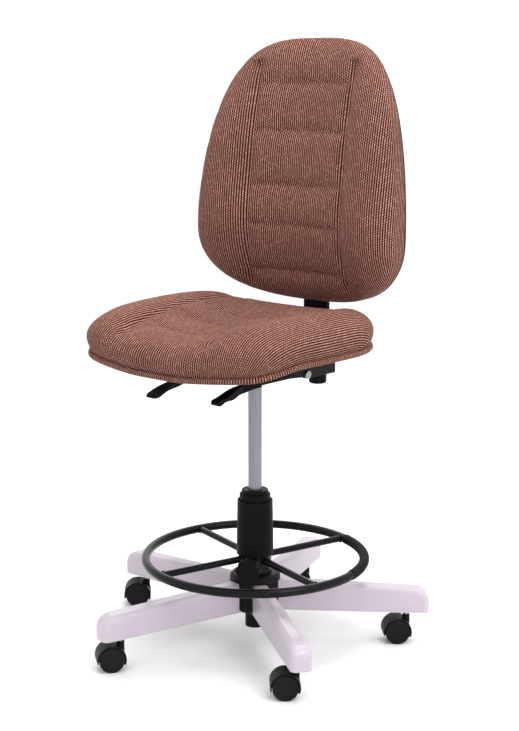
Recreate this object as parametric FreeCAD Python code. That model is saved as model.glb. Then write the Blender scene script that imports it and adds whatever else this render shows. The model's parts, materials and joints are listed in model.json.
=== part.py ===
import FreeCAD, Part
import os
from math import cos, pi, radians, sin, tan

# Drafting-height swivel stool, in millimetres. +Z is up, the sitter faces -Y, and the origin
# is on the floor at the axis of the gas column.

V = FreeCAD.Vector
UP = V(0, 0, 1)
RIGHT = V(1, 0, 0)
ORIGIN = V(0, 0, 0)

# Fits
RUN_CLEAR = 0.05                # radial clearance of a turning or sliding fit
GAP = 0.3                       # gap between neighbouring moving faces

# Five-star base
ARM_COUNT = 5
ARM_ANGLE = 37.3                # direction of the first arm, from +X
ARM_ROOT_R = 27.0
ARM_TIP_R = 358.0
ARM_BOTTOM_Z = 67.0
ARM_ROOT_TOP_Z = 130.0
ARM_SLOPE = 2.4                 # fall of the arm's top towards its tip, degrees
ARM_ROOT_W = 34.0
ARM_TIP_W = 43.0
ARM_NOSE_R = 28.0               # radius of the rounded tip, seen from the side
ARM_EDGE_R = 12.0               # rounding of the arm's tip corners and top edges
ARM_WALL = 2.5
HUB_R = 52.0
HUB_BOTTOM_Z = 67.0
HUB_TOP_Z = 143.0
HUB_SOCKET_GAP = 0.2
ARM_BOLT_R = 4.0
ARM_BOLT_REACH = 42.0           # distance of each arm bolt from the column axis
ARM_BOLT_HEAD_Z = 69.0
ARM_BOLT_TOP_Z = 138.0
ARM_FLOOR_Z = 74.0              # the plate inside the arm's root that takes the bolt

# Casters
STEM_R = 4.5
STEM_PITCH_R = 312.0            # distance of each stem from the column axis
STEM_BOTTOM_Z = 46.2
STEM_TOP_Z = 105.0
SOCKET_R = 9.0
SOCKET_PLATE_T = 3.0
WHEEL_R = 25.0
WHEEL_INNER = 4.2               # from the caster's middle plane to a wheel's inner face
WHEEL_OUTER = 24.0
WHEEL_EDGE_R = 2.5
TRAIL = 20.0
TRAIL_ANGLES = [225, 224, 224, 234, 223]
AXLE_R = 3.0
AXLE_HALF = 20.0
HOOD_R = 29.0
HOOD_CLEAR = 1.0
HOOD_WEB = 3.6
HOOD_HALF = 21.5
HOOD_BOSS_R = 7.5
HOOD_BOSS_TOP_Z = 57.0
HOOD_SKIRT_Z = 15.0             # lowest edge of the hood's skirt

# Gas column
TUBE_R = 25.0
TUBE_FOOT_R = 20.5
TUBE_BORE_R = 18.0
TUBE_BOTTOM_Z = 27.0
TUBE_TAPER_Z = 143.0            # the tube is straight above this height
TUBE_TOP_Z = 308.0
TUBE_FLOOR_T = 4.0
BEARING_T = 10.0
CYLINDER_R = 14.0
CYLINDER_BORE_R = 12.0
CYLINDER_BOTTOM_Z = 248.0
CONE_BOTTOM_Z = 538.0
CONE_TOP_Z = 568.0
CONE_TOP_R = 13.2
ROD_R = 5.0
ROD_TOP_Z = 270.0
PIN_R = 4.0
PIN_TOP_Z = 575.3
PIN_LENGTH = 22.0
BUSH_BOTTOM_Z = 233.0

# Column covers
COVER_OUTER_TOP_R = 36.2
COVER_OUTER_BOTTOM_R = 38.0
COVER_OUTER_BOTTOM_Z = 183.2
COVER_OUTER_TOP_Z = 297.0
COVER_WALL = 2.5
COVER_MIDDLE_R = 31.7
COVER_MIDDLE_BOTTOM_Z = 275.0
COVER_MIDDLE_TOP_Z = 311.0
COVER_CAP_R = 27.4
COVER_CAP_BORE_R = 15.0
COVER_CAP_TOP_Z = 319.0

# Foot ring
RING_R = 224.5
RING_TUBE_R = 9.0
RING_Z = 175.0
SPOKE_R = 7.0
SPOKE_ANGLE = 74.0
LINER_R = 28.0
LINER_BOTTOM_Z = 144.0
RING_HUB_R = 34.0
RING_HUB_BOTTOM_Z = 145.0
RING_HUB_TOP_Z = 182.9
SLEEVE_START = 9.0              # the grip sleeve covers this stretch of the ring, in degrees
SLEEVE_END = 71.5               # short of the spoke beside it
SLEEVE_WALL = 1.2
KNOB_ANGLE = 299.0
KNOB_Z = 165.0
KNOB_R = 25.0
KNOB_BOSS_REACH = 51.0
KNOB_START = 54.0
KNOB_END = 72.0
KNOB_LOBES = 8
KNOB_BOSS_R = 10.0
KNOB_NECK_R = 9.0
STUD_R = 4.0                    # threaded studs of the ring knob and the tension knob

# Seat
SEAT_HALF_W = 254.0
SEAT_FRONT = 286.0
SEAT_REAR = 176.0
SEAT_SPLIT_Y = -20.0            # the plan curve changes exponent here
SEAT_FRONT_POWER = 4.6
SEAT_REAR_POWER = 2.3
SEAT_COVER_BOTTOM_Z = 590.0
SEAT_BOARD_BOTTOM_Z = 593.0
SEAT_BOARD_TOP_Z = 605.0
CUSHION_SECTIONS = [(605.0, 0.93), (626.0, 1.0), (650.0, 1.0), (674.0, 0.94), (688.0, 0.80)]

# Seat mechanism
BOX_HALF_W = 58.0
BOX_FRONT = -115.0
BOX_REAR = 110.0
BOX_BOTTOM_Z = 540.0
BOX_TOP_Z = 590.0
BOX_WALL = 3.0
BOX_FLOOR_REAR = 78.0           # the floor stops here, to leave the back bracket room
BOSS_R = 25.0
BOSS_BOTTOM_Z = 534.0
BOSS_TOP_Z = 566.0
PIVOT_Y = 95.0
PIVOT_Z = 550.0
PIVOT_R = 5.0
PIVOT_HEAD_R = 8.5
SCREW_R = 4.0
SCREW_X = 42.0
SCREW_YS = [-98.0, 74.0]
SHAFT_R = 4.0

# Levers: height release at -X, back lock at +X. Outlines are (y, z) from the side, (x, y) above
HEIGHT_SHAFT_Y = -26.0
HEIGHT_SHAFT_Z = 579.0
TILT_SHAFT_Y = 30.0
TILT_SHAFT_Z = 565.0
FINGER_R = 3.5
LEVER_ARM_X = 67.0
LEVER_ARM_HALF = 5.0
LEVER_ARM_H = 8.0
HEIGHT_ARM_FRONT = -132.0
HEIGHT_ARM_Z = 561.0
LOCK_ARM_FRONT = -84.0
LOCK_ARM_Z = 554.0
FINGER_HALF_W = 5.0
FINGER_HALF_H = 2.0
CAM_X = (36.0, 44.0)
CAM_REACH = (-3.0, 12.0)
CAM_HALF_H = 7.0
HEIGHT_GRIP_SIDE = [(-122, 560), (-142, 555), (-162, 549.5), (-182, 548), (-205, 544), (-232, 537.5),
                    (-237, 541), (-225, 546), (-200, 552.5), (-170, 559.5), (-145, 566), (-122, 569)]
HEIGHT_GRIP_PLAN = [(-72, -118), (-74, -150), (-78, -190), (-77, -222), (-68, -238), (-58, -228),
                    (-54, -190), (-57, -150), (-62, -118)]
LOCK_GRIP_SIDE = [(-62, 552), (-92, 551), (-112, 547), (-132, 545.5), (-150, 540), (-172, 538),
                  (-188, 534), (-192, 538), (-178, 544.5), (-150, 553.5), (-120, 561.5),
                  (-92, 565), (-62, 565)]
LOCK_GRIP_PLAN = [(63.5, -62), (62.5, -100), (60, -122), (55, -146), (53, -172), (58, -192), (68, -192),
                  (75, -172), (75, -135), (73, -100), (70.5, -62)]

# Back bracket, bar and knob
BRACKET_HALF_W = 50.0
BRACKET_FRONT = 113.0
BRACKET_REAR = 203.0
BRACKET_BOTTOM_Z = 538.0
BRACKET_TOP_Z = 581.0
EAR_T = 4.5
EAR_R = 9.0
EAR_GAP = 0.5                   # from each ear to the box wall beside it
EAR_OVERLAP = 12.0              # how far each ear runs into the bracket
BRACKET_ROUND = 8.0
BAR_HALF_W = 25.0
BAR_T = 8.0
BAR_Y = 196.0
BAR_LOW_Z = 562.0
BAR_FRONT_Y = 122.0
BAR_BEND_R = 22.0
BAR_TOP_Z = 893.0
BAR_SLEEVE_HALF_W = 31.0
BAR_SLEEVE_T = 14.0
BAR_SLEEVE_TOP_Z = 715.0
BAR_SLEEVE_ROUND = 4.0
TENSION_KNOB_R = 18.5
TENSION_KNOB_X = 14.0
TENSION_KNOB_Y = 184.0
TENSION_KNOB_BOTTOM_Z = 513.0
TENSION_STUD_LENGTH = 15.0
TENSION_GROOVES = 12
TENSION_GROOVE_R = 2.0

# Backrest, built upright and then leaned about the bar
LEAN = 1.0
LEAN_Z = 677.0
BACK_HALF_W = 256.0
BACK_BOTTOM_Z = 688.0
BACK_HEIGHT = 532.0
BACK_WIDEST = 142.0             # height of the widest place above the bottom edge
BACK_TOP_POWERS = (3.4, 2.0)
BACK_LOW_POWERS = (2.6, 2.3)
BACK_CURVE_R = 620.0            # radius that wraps the back round the sitter
BACK_REAR_Y = 214.0
BACK_SHELL_DEPTH = 28.0
BACK_SHELL_T = 4.0
BACK_SHELL_ROUND = 20.0
BACK_BOARD_T = 12.0
BACK_DEPTH = 86.0               # from the shell's rear face to the cushion's crown
BACK_CUSHION_ROUND = 28.0
SLIDER_HALF_W = 37.0
SLIDER_BOTTOM_Z = 735.0
SLIDER_TOP_Z = 915.0
SLIDER_REAR_Y = 208.5
BAR_SLOT_HALF_W = 34.0
BAR_SLOT_HALF_T = 11.0
SHELL_INSET = 3.0               # the shell and the board lie this far inside the cushion's outline
BOARD_INSET = 16.0
SLIDER_FIT = 0.1
SLIDER_ROOF_T = 4.0

parts = {}


def tube(outer, inner, low, high):
    """A round tube on the column axis, or a rod where inner is 0."""
    body = Part.makeCylinder(outer, high - low, V(0, 0, low))
    if inner > 0:
        body = body.cut(Part.makeCylinder(inner, high - low + 2, V(0, 0, low - 1)))
    return body


def block(low, high):
    """A box from its lowest corner to its highest."""
    size = V(*high).sub(V(*low))
    return Part.makeBox(size.x, size.y, size.z, V(*low))


def spun(outline):
    """A solid turned about the column axis from (radius, height) points."""
    points = [V(r, 0, z) for r, z in outline]
    face = Part.Face(Part.makePolygon(points + [points[0]]))
    return face.revolve(ORIGIN, UP, 360)


def turned(shape, angle, centre=ORIGIN, axis=UP):
    """A copy of the shape, turned by an angle in degrees."""
    copy = shape.copy()
    copy.rotate(centre, axis, angle)
    return copy


def polar(radius, angle, height=0.0):
    """The point at a distance and direction from the column axis."""
    return V(radius * cos(radians(angle)), radius * sin(radians(angle)), height)


def edges_where(shape, test):
    """The edges whose middle point passes the test."""
    return [edge for edge in shape.Edges if test(edge.CenterOfMass)]


def smooth_loop(points):
    """A closed smooth wire through the points."""
    curve = Part.BSplineCurve()
    curve.interpolate(points, PeriodicFlag=True)
    return Part.Wire(curve.toShape())


# --- Base ------------------------------------------------------------------------------------

def arm_side_face(inset, root, open_bottom):
    """The arm seen from the side, in the XZ plane, drawn inside its outer line by inset."""
    slope = radians(ARM_SLOPE)
    nose = ARM_NOSE_R - inset
    tip = ARM_TIP_R - inset
    low = ARM_BOTTOM_Z - (5.0 if open_bottom else 0.0)

    def top(radius):
        return ARM_ROOT_TOP_Z - inset / cos(slope) - (radius - ARM_ROOT_R) * tan(slope)

    centre = V(tip - nose, 0, top(tip - nose) - nose / cos(slope))
    mid_angle = radians(45) + slope / 2
    tangent = V(centre.x + nose * sin(slope), 0, centre.z + nose * cos(slope))
    middle = V(centre.x + nose * cos(mid_angle), 0, centre.z + nose * sin(mid_angle))
    side = V(tip, 0, centre.z)
    edges = [
        Part.makeLine(V(root, 0, low), V(root, 0, top(root))),
        Part.makeLine(V(root, 0, top(root)), tangent),
        Part.Arc(tangent, middle, side).toShape(),
        Part.makeLine(side, V(tip, 0, low)),
        Part.makeLine(V(tip, 0, low), V(root, 0, low)),
    ]
    return Part.Face(Part.Wire(edges))


def arm_block(inset, root, open_bottom=False):
    """The arm's outer form, or the hollow inside it, along +X."""
    depth = ARM_TIP_W
    face = arm_side_face(inset, root, open_bottom)
    face.translate(V(0, -depth, 0))
    slab = face.extrude(V(0, 2 * depth, 0))
    root_w = ARM_ROOT_W / 2 - inset
    tip_w = ARM_TIP_W / 2 - inset
    plan = Part.makePolygon([
        V(root, -root_w, 0), V(ARM_TIP_R, -tip_w, 0), V(ARM_TIP_R, tip_w, 0),
        V(root, root_w, 0), V(root, -root_w, 0),
    ])
    form = slab.common(Part.Face(plan).extrude(V(0, 0, HUB_TOP_Z)))
    corners = edges_where(form, lambda p: p.x > ARM_TIP_R - inset - 1 and abs(p.y) > tip_w - 1)
    return form.makeFillet(ARM_EDGE_R - inset, corners)


def arm_bolt_shank():
    """The shank of one arm bolt, up through the arm's root into the hub's roof."""
    return Part.makeCylinder(ARM_BOLT_R, ARM_BOLT_TOP_Z - ARM_FLOOR_Z,
                             V(ARM_BOLT_REACH, 0, ARM_FLOOR_Z))


def base_arm():
    """One pressed-steel arm along +X: a channel, open below."""
    arm = arm_block(0.0, ARM_ROOT_R)
    arm = arm.cut(arm_block(ARM_WALL, ARM_ROOT_R + ARM_WALL, open_bottom=True))
    root_floor = block((ARM_ROOT_R, -ARM_ROOT_W / 2 + 1, ARM_FLOOR_Z),
                       (HUB_R + 6, ARM_ROOT_W / 2 - 1, ARM_FLOOR_Z + 3))
    return arm.fuse(root_floor).cut(arm_bolt_shank()).removeSplitter()


def base_hub():
    """The hub casting: a tapered bore for the column and five arched sockets for the arms."""
    rim = 6.0
    hub = spun([
        (0, HUB_BOTTOM_Z), (HUB_R - rim, HUB_BOTTOM_Z), (HUB_R, HUB_BOTTOM_Z + rim),
        (HUB_R, HUB_TOP_Z - rim), (HUB_R - rim, HUB_TOP_Z), (0, HUB_TOP_Z),
    ])
    hub = hub.cut(column_outside())
    socket = arm_block(-HUB_SOCKET_GAP, ARM_ROOT_R)
    for index in range(ARM_COUNT):
        angle = ARM_ANGLE + index * 360 / ARM_COUNT
        hub = hub.cut(turned(socket, angle))
        hub = hub.cut(turned(arm_bolt_shank(), angle))
        between = polar(HUB_R + 7, angle + 180 / ARM_COUNT, HUB_BOTTOM_Z - 1)
        hub = hub.cut(Part.makeCylinder(11, HUB_TOP_Z - HUB_BOTTOM_Z + 2, between))
    return hub


def arm_bolt():
    """A hexagon-head bolt, driven from below and hidden in the arm's channel."""
    head = Part.Face(Part.makePolygon([
        V(ARM_BOLT_REACH, 0, ARM_BOLT_HEAD_Z).add(polar(7.0, 60 * corner)) for corner in range(7)
    ])).extrude(V(0, 0, ARM_FLOOR_Z - ARM_BOLT_HEAD_Z))
    return head.fuse(arm_bolt_shank()).removeSplitter()


def caster_socket():
    """The plate and sleeve welded in the arm's tip, which hold the caster stem."""
    half = ARM_TIP_W / 2 - ARM_WALL - 1.5
    plate = block((STEM_PITCH_R - 24, -half, ARM_BOTTOM_Z),
                  (STEM_PITCH_R + 24, half, ARM_BOTTOM_Z + SOCKET_PLATE_T))
    sleeve = Part.makeCylinder(SOCKET_R, STEM_TOP_Z - 6 - ARM_BOTTOM_Z,
                               V(STEM_PITCH_R, 0, ARM_BOTTOM_Z))
    bore = Part.makeCylinder(STEM_R + 1, 60, V(STEM_PITCH_R, 0, ARM_BOTTOM_Z - 1))
    return plate.fuse(sleeve).cut(bore)


def caster_stem():
    """The steel stem: thick where it grips the socket, thin where the hood turns on it."""
    thin = Part.makeCylinder(STEM_R, ARM_BOTTOM_Z - STEM_BOTTOM_Z,
                             V(STEM_PITCH_R, 0, STEM_BOTTOM_Z))
    thick = Part.makeCylinder(STEM_R + 1, STEM_TOP_Z - ARM_BOTTOM_Z,
                              V(STEM_PITCH_R, 0, ARM_BOTTOM_Z))
    return thin.fuse(thick)


def build_base():
    """The hub, its arms and everything fixed in them."""
    angles = [ARM_ANGLE + index * 360 / ARM_COUNT for index in range(ARM_COUNT)]
    parts["base_hub"] = base_hub()
    arm = base_arm()
    for index, angle in enumerate(angles):
        parts[f"base_arm_{index + 1}"] = turned(arm, angle)
    for name, piece in (("arm_bolts", arm_bolt()), ("caster_sockets", caster_socket()),
                        ("caster_stems", caster_stem())):
        parts[name] = Part.makeCompound([turned(piece, angle) for angle in angles])


# --- Casters -----------------------------------------------------------------------------------

def wheel_zone(side, radius):
    """The space that one wheel sweeps, to one side of the caster's middle plane."""
    start = V(0, side * HOOD_WEB, WHEEL_R)
    return Part.makeCylinder(radius, WHEEL_OUTER, start, V(0, side, 0))


def caster_hood():
    """The moulded hood about the wheel axis at (0, 0), with its stem boss at -X."""
    middle = V(0, -HOOD_HALF, WHEEL_R)
    hood = Part.makeCylinder(HOOD_R, 2 * HOOD_HALF, middle, V(0, 1, 0))
    below = block((-40, -30, -10), (40, 30, HOOD_SKIRT_Z))
    hood = hood.cut(below)
    web_cut = block((-8, -30, HOOD_SKIRT_Z - 1), (40, 30, WHEEL_R - 6))
    hood = hood.cut(web_cut)
    boss = Part.makeCylinder(HOOD_BOSS_R, HOOD_BOSS_TOP_Z - WHEEL_R, V(-TRAIL, 0, WHEEL_R))
    hood = hood.fuse(boss)
    for side in (-1, 1):
        hood = hood.cut(wheel_zone(side, WHEEL_R + HOOD_CLEAR))
    hood = hood.cut(Part.makeCylinder(STEM_R + RUN_CLEAR, 40, V(-TRAIL, 0, STEM_BOTTOM_Z - GAP)))
    axle_bore = Part.makeCylinder(AXLE_R, 60, V(0, -30, WHEEL_R), V(0, 1, 0))
    return hood.cut(axle_bore).removeSplitter()


def caster_wheel(side):
    """One of the twin wheels: a tyre rim with a dished outer disc and a blind axle bore."""
    width = WHEEL_OUTER - WHEEL_INNER
    wheel = Part.makeCylinder(WHEEL_R, width, V(0, side * WHEEL_INNER, WHEEL_R), V(0, side, 0))
    wheel = wheel.makeFillet(WHEEL_EDGE_R, wheel.Edges[0:1] + wheel.Edges[2:3])
    dish = Part.makeCylinder(WHEEL_R - 6, 1.0, V(0, side * (WHEEL_OUTER - 1), WHEEL_R), V(0, side, 0))
    bore = Part.makeCylinder(AXLE_R + RUN_CLEAR, AXLE_HALF + GAP, V(0, 0, WHEEL_R), V(0, side, 0))
    return wheel.cut(dish).cut(bore)


def placed_caster(piece, index):
    """Moves a caster piece from its own axes to its place under an arm."""
    arm_angle = ARM_ANGLE + index * 360 / ARM_COUNT
    trail_angle = TRAIL_ANGLES[index]
    moved = piece.copy()
    moved.translate(V(TRAIL, 0, 0))
    moved.rotate(ORIGIN, UP, trail_angle)
    moved.translate(polar(STEM_PITCH_R, arm_angle))
    return moved


def build_casters():
    """Five twin-wheel casters."""
    hood = caster_hood()
    axle = Part.makeCylinder(AXLE_R, 2 * AXLE_HALF, V(0, -AXLE_HALF, WHEEL_R), V(0, 1, 0))
    wheels = {"a": caster_wheel(-1), "b": caster_wheel(1)}
    for index in range(ARM_COUNT):
        parts[f"caster_hood_{index + 1}"] = placed_caster(hood, index)
        parts[f"caster_axle_{index + 1}"] = placed_caster(axle, index)
        for letter, wheel in wheels.items():
            parts[f"caster_wheel_{index + 1}{letter}"] = placed_caster(wheel, index)


# --- Gas column --------------------------------------------------------------------------------

def column_outside():
    """The outer form of the column tube, which the hub's bore fits."""
    return spun([
        (0, TUBE_BOTTOM_Z), (TUBE_FOOT_R, TUBE_BOTTOM_Z), (TUBE_FOOT_R, HUB_BOTTOM_Z),
        (TUBE_R, TUBE_TAPER_Z), (TUBE_R, TUBE_TOP_Z), (0, TUBE_TOP_Z),
    ])


def build_column():
    """The column tube, its bush and bearing, the gas cylinder, its rod and release pin."""
    floor_top = TUBE_BOTTOM_Z + TUBE_FLOOR_T
    bore = tube(TUBE_BORE_R, 0, floor_top, TUBE_TOP_Z + 1)
    rod_hole = tube(ROD_R + 2, 0, TUBE_BOTTOM_Z - 1, floor_top + 1)
    parts["column_tube"] = column_outside().cut(bore).cut(rod_hole)
    parts["column_bush"] = tube(TUBE_BORE_R, CYLINDER_R + RUN_CLEAR, BUSH_BOTTOM_Z, TUBE_TOP_Z)
    parts["thrust_bearing"] = tube(TUBE_BORE_R, ROD_R + RUN_CLEAR, floor_top,
                                   floor_top + BEARING_T)
    collar_low = floor_top + BEARING_T + GAP
    rod = tube(ROD_R, 0, TUBE_BOTTOM_Z - 2, ROD_TOP_Z)
    collar = tube(ROD_R + 4, 0, collar_low, collar_low + 4)
    head = tube(CYLINDER_BORE_R - RUN_CLEAR, 0, ROD_TOP_Z - 12, ROD_TOP_Z)
    parts["piston_rod"] = rod.fuse(collar).fuse(head).removeSplitter()

    wall = 7.0
    cylinder = spun([
        (0, CYLINDER_BOTTOM_Z), (CYLINDER_R, CYLINDER_BOTTOM_Z), (CYLINDER_R, CONE_BOTTOM_Z),
        (CONE_TOP_R, CONE_TOP_Z), (0, CONE_TOP_Z),
    ])
    cylinder = cylinder.cut(tube(CYLINDER_BORE_R, 0, CYLINDER_BOTTOM_Z + 4, CONE_TOP_Z - wall))
    cylinder = cylinder.cut(tube(ROD_R + RUN_CLEAR, 0, CYLINDER_BOTTOM_Z - 1,
                                 CYLINDER_BOTTOM_Z + 5))
    cylinder = cylinder.cut(tube(PIN_R + RUN_CLEAR, 0, CONE_TOP_Z - wall - 1, CONE_TOP_Z + 1))
    parts["gas_cylinder"] = cylinder
    parts["release_pin"] = tube(PIN_R, 0, PIN_TOP_Z - PIN_LENGTH, PIN_TOP_Z)


def build_column_covers():
    """The telescoping covers round the column."""
    outer = spun([
        (COVER_OUTER_BOTTOM_R - COVER_WALL, COVER_OUTER_BOTTOM_Z),
        (COVER_OUTER_BOTTOM_R, COVER_OUTER_BOTTOM_Z),
        (COVER_OUTER_TOP_R, COVER_OUTER_TOP_Z),
        (COVER_OUTER_TOP_R - COVER_WALL, COVER_OUTER_TOP_Z),
    ])
    parts["cover_outer"] = outer
    chamfer = 1.5
    step_z = TUBE_TOP_Z
    ledge_z = step_z - 4
    parts["cover_middle"] = spun([
        (COVER_MIDDLE_R - COVER_WALL, COVER_MIDDLE_BOTTOM_Z), (COVER_MIDDLE_R, COVER_MIDDLE_BOTTOM_Z),
        (COVER_MIDDLE_R, COVER_MIDDLE_TOP_Z - chamfer), (COVER_MIDDLE_R - chamfer, COVER_MIDDLE_TOP_Z),
        (COVER_CAP_R, COVER_MIDDLE_TOP_Z), (COVER_CAP_R, step_z), (TUBE_R, step_z),
        (TUBE_R, ledge_z), (COVER_MIDDLE_R - COVER_WALL, ledge_z),
    ])
    parts["cover_cap"] = spun([
        (COVER_CAP_BORE_R, step_z), (COVER_CAP_R, step_z), (COVER_CAP_R, COVER_CAP_TOP_Z - chamfer),
        (COVER_CAP_R - chamfer, COVER_CAP_TOP_Z), (COVER_CAP_BORE_R, COVER_CAP_TOP_Z),
    ])


# --- Foot ring -----------------------------------------------------------------------------------

def star_knob(start, end, radius, lobes):
    """A lobed hand knob along +X, from one distance to another."""
    knob = Part.makeCylinder(radius - 2.5, end - start, V(start, 0, 0), RIGHT)
    lobe_r = radius * 0.36
    for index in range(lobes):
        angle = radians(360 * index / lobes)
        centre = V(start, (radius - lobe_r) * cos(angle), (radius - lobe_r) * sin(angle))
        knob = knob.fuse(Part.makeCylinder(lobe_r, end - start, centre, RIGHT))
    return knob.removeSplitter()


def build_foot_ring():
    """The clamp liner, the hub with its knob, four spokes, the ring and its grip sleeve."""
    liner_top = RING_HUB_TOP_Z
    parts["ring_liner"] = tube(LINER_R, TUBE_R + RUN_CLEAR, LINER_BOTTOM_Z, liner_top)
    hub = tube(RING_HUB_R, LINER_R + RUN_CLEAR, RING_HUB_BOTTOM_Z, RING_HUB_TOP_Z)
    boss = Part.makeCylinder(KNOB_BOSS_R, KNOB_BOSS_REACH - RING_HUB_R + 4, V(RING_HUB_R - 4, 0, KNOB_Z),
                             RIGHT)
    stud_hole = Part.makeCylinder(STUD_R + RUN_CLEAR, 30, V(LINER_R - 2, 0, KNOB_Z), RIGHT)
    core = tube(LINER_R + RUN_CLEAR, 0, RING_HUB_BOTTOM_Z, RING_HUB_TOP_Z)
    hub = hub.fuse(turned(boss, KNOB_ANGLE)).cut(core).cut(turned(stud_hole, KNOB_ANGLE))
    parts["ring_hub"] = hub.removeSplitter()

    ring = Part.makeTorus(RING_R, RING_TUBE_R, V(0, 0, RING_Z))
    parts["ring_tube"] = ring
    reach = RING_R - RING_TUBE_R * 0.5
    collar = tube(RING_HUB_R, 0, RING_HUB_BOTTOM_Z, RING_HUB_TOP_Z)
    spoke = Part.makeCylinder(SPOKE_R, reach, V(0, 0, RING_Z), RIGHT).cut(collar).cut(ring)
    parts["ring_spokes"] = Part.makeCompound(
        [turned(spoke, SPOKE_ANGLE + 90 * index) for index in range(4)])

    profile = Part.Face(Part.Wire(Part.Circle(
        V(RING_R, 0, RING_Z), V(0, 1, 0), RING_TUBE_R + SLEEVE_WALL).toShape()))
    grip = profile.revolve(ORIGIN, UP, SLEEVE_END - SLEEVE_START)
    grip = turned(grip, SLEEVE_START).cut(ring)
    parts["ring_grip"] = grip

    knob = star_knob(KNOB_START, KNOB_END, KNOB_R, KNOB_LOBES)
    stud = Part.makeCylinder(STUD_R, KNOB_START - LINER_R - 1, V(LINER_R + 1, 0, 0), RIGHT)
    neck = Part.makeCylinder(KNOB_NECK_R, KNOB_START - KNOB_BOSS_REACH - GAP,
                             V(KNOB_BOSS_REACH + GAP, 0, 0), RIGHT)
    knob = knob.fuse(neck).fuse(stud).removeSplitter()
    knob.translate(V(0, 0, KNOB_Z))
    parts["ring_knob"] = turned(knob, KNOB_ANGLE)


# --- Seat ----------------------------------------------------------------------------------------

def seat_outline(scale, height, count=44):
    """The seat's plan curve at one height: squarer at the front than at the rear."""
    points = []
    for index in range(count):
        angle = 2 * pi * (index + 0.5) / count
        rear = sin(angle) > 0
        power = SEAT_REAR_POWER if rear else SEAT_FRONT_POWER
        reach = SEAT_REAR - SEAT_SPLIT_Y if rear else SEAT_FRONT + SEAT_SPLIT_Y
        across = abs(cos(angle)) ** (2 / power) * SEAT_HALF_W * scale
        along = abs(sin(angle)) ** (2 / power) * reach * scale
        points.append(V(across if cos(angle) > 0 else -across,
                        SEAT_SPLIT_Y + (along if rear else -along), height))
    return smooth_loop(points)


def seat_slab(scale, low, high):
    """A flat slab with the seat's plan curve."""
    return Part.Face(seat_outline(scale, low)).extrude(V(0, 0, high - low))


def screw_holes(radius, low, high):
    """The four vertical holes that join the mechanism to the seat board."""
    return [Part.makeCylinder(radius, high - low, V(side * SCREW_X, y, low))
            for side in (-1, 1) for y in SCREW_YS]


def build_seat():
    """The cushion, the board in it, and the moulded cover under it."""
    sections = [seat_outline(scale, height) for height, scale in CUSHION_SECTIONS]
    parts["seat_cushion"] = Part.makeLoft(sections, True, False)
    board = seat_slab(0.90, SEAT_BOARD_BOTTOM_Z, SEAT_BOARD_TOP_Z)
    cover = seat_slab(0.88, SEAT_COVER_BOTTOM_Z, SEAT_BOARD_BOTTOM_Z)
    for hole in screw_holes(SCREW_R, SEAT_COVER_BOTTOM_Z - 1, SEAT_BOARD_TOP_Z + 1):
        board = board.cut(hole)
        cover = cover.cut(hole)
    parts["seat_board"] = board
    parts["seat_base_cover"] = cover


# --- Seat mechanism --------------------------------------------------------------------------------

def build_mechanism():
    """The steel box under the seat, with the column socket, pivot bolt and screws."""
    box = block((-BOX_HALF_W, BOX_FRONT, BOX_BOTTOM_Z), (BOX_HALF_W, BOX_REAR, BOX_TOP_Z))
    box = box.makeFillet(4, edges_where(box, lambda p: p.y < BOX_FRONT + 1 and abs(p.x) > 40))
    inside = BOX_HALF_W - BOX_WALL
    cavity = block((-inside, BOX_FRONT + BOX_WALL, BOX_BOTTOM_Z + BOX_WALL),
                   (inside, BOX_REAR + 1, BOX_TOP_Z - BOX_WALL))
    rear_gap = block((-inside, BOX_FLOOR_REAR, BOX_BOTTOM_Z - 1),
                     (inside, BOX_REAR + 1, BOX_TOP_Z - BOX_WALL))
    box = box.cut(cavity).cut(rear_gap)
    box = box.fuse(tube(BOSS_R, 0, BOSS_BOTTOM_Z, BOSS_TOP_Z))
    cone = spun([(0, BOSS_BOTTOM_Z - 1), (CYLINDER_R, BOSS_BOTTOM_Z - 1),
                 (CYLINDER_R, CONE_BOTTOM_Z), (CONE_TOP_R, CONE_TOP_Z), (0, CONE_TOP_Z)])
    box = box.cut(cone)
    for side, y, z in ((-1, HEIGHT_SHAFT_Y, HEIGHT_SHAFT_Z), (1, TILT_SHAFT_Y, TILT_SHAFT_Z)):
        shaft_hole = Part.makeCylinder(SHAFT_R + RUN_CLEAR, BOX_WALL + 4,
                                       V(side * (inside - 2), y, z), V(side, 0, 0))
        box = box.cut(shaft_hole)
    pivot_hole = Part.makeCylinder(PIVOT_R, 2 * BOX_HALF_W + 20,
                                   V(-BOX_HALF_W - 10, PIVOT_Y, PIVOT_Z), RIGHT)
    box = box.cut(pivot_hole)
    for hole in screw_holes(SCREW_R, BOX_TOP_Z - BOX_WALL - 1, BOX_TOP_Z + 1):
        box = box.cut(hole)
    parts["mechanism_box"] = box.removeSplitter()

    shank = Part.makeCylinder(PIVOT_R, 2 * BOX_HALF_W, V(-BOX_HALF_W, PIVOT_Y, PIVOT_Z), RIGHT)
    bolt = shank
    for side in (-1, 1):
        head = Part.makeCylinder(PIVOT_HEAD_R, 5, V(side * BOX_HALF_W, PIVOT_Y, PIVOT_Z),
                                 V(side, 0, 0))
        head = head.makeFillet(2, edges_where(head, lambda p: abs(p.x) > BOX_HALF_W + 4))
        bolt = bolt.fuse(head)
    parts["pivot_bolt"] = bolt.removeSplitter()

    screws = []
    head_low = BOX_TOP_Z - BOX_WALL - 4
    for side in (-1, 1):
        for y in SCREW_YS:
            head = Part.makeCylinder(7, 4, V(side * SCREW_X, y, head_low))
            shank = Part.makeCylinder(SCREW_R, SEAT_BOARD_TOP_Z - head_low - 4,
                                      V(side * SCREW_X, y, head_low + 4))
            screws.append(head.fuse(shank))
    parts["mounting_screws"] = Part.makeCompound(screws)


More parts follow.
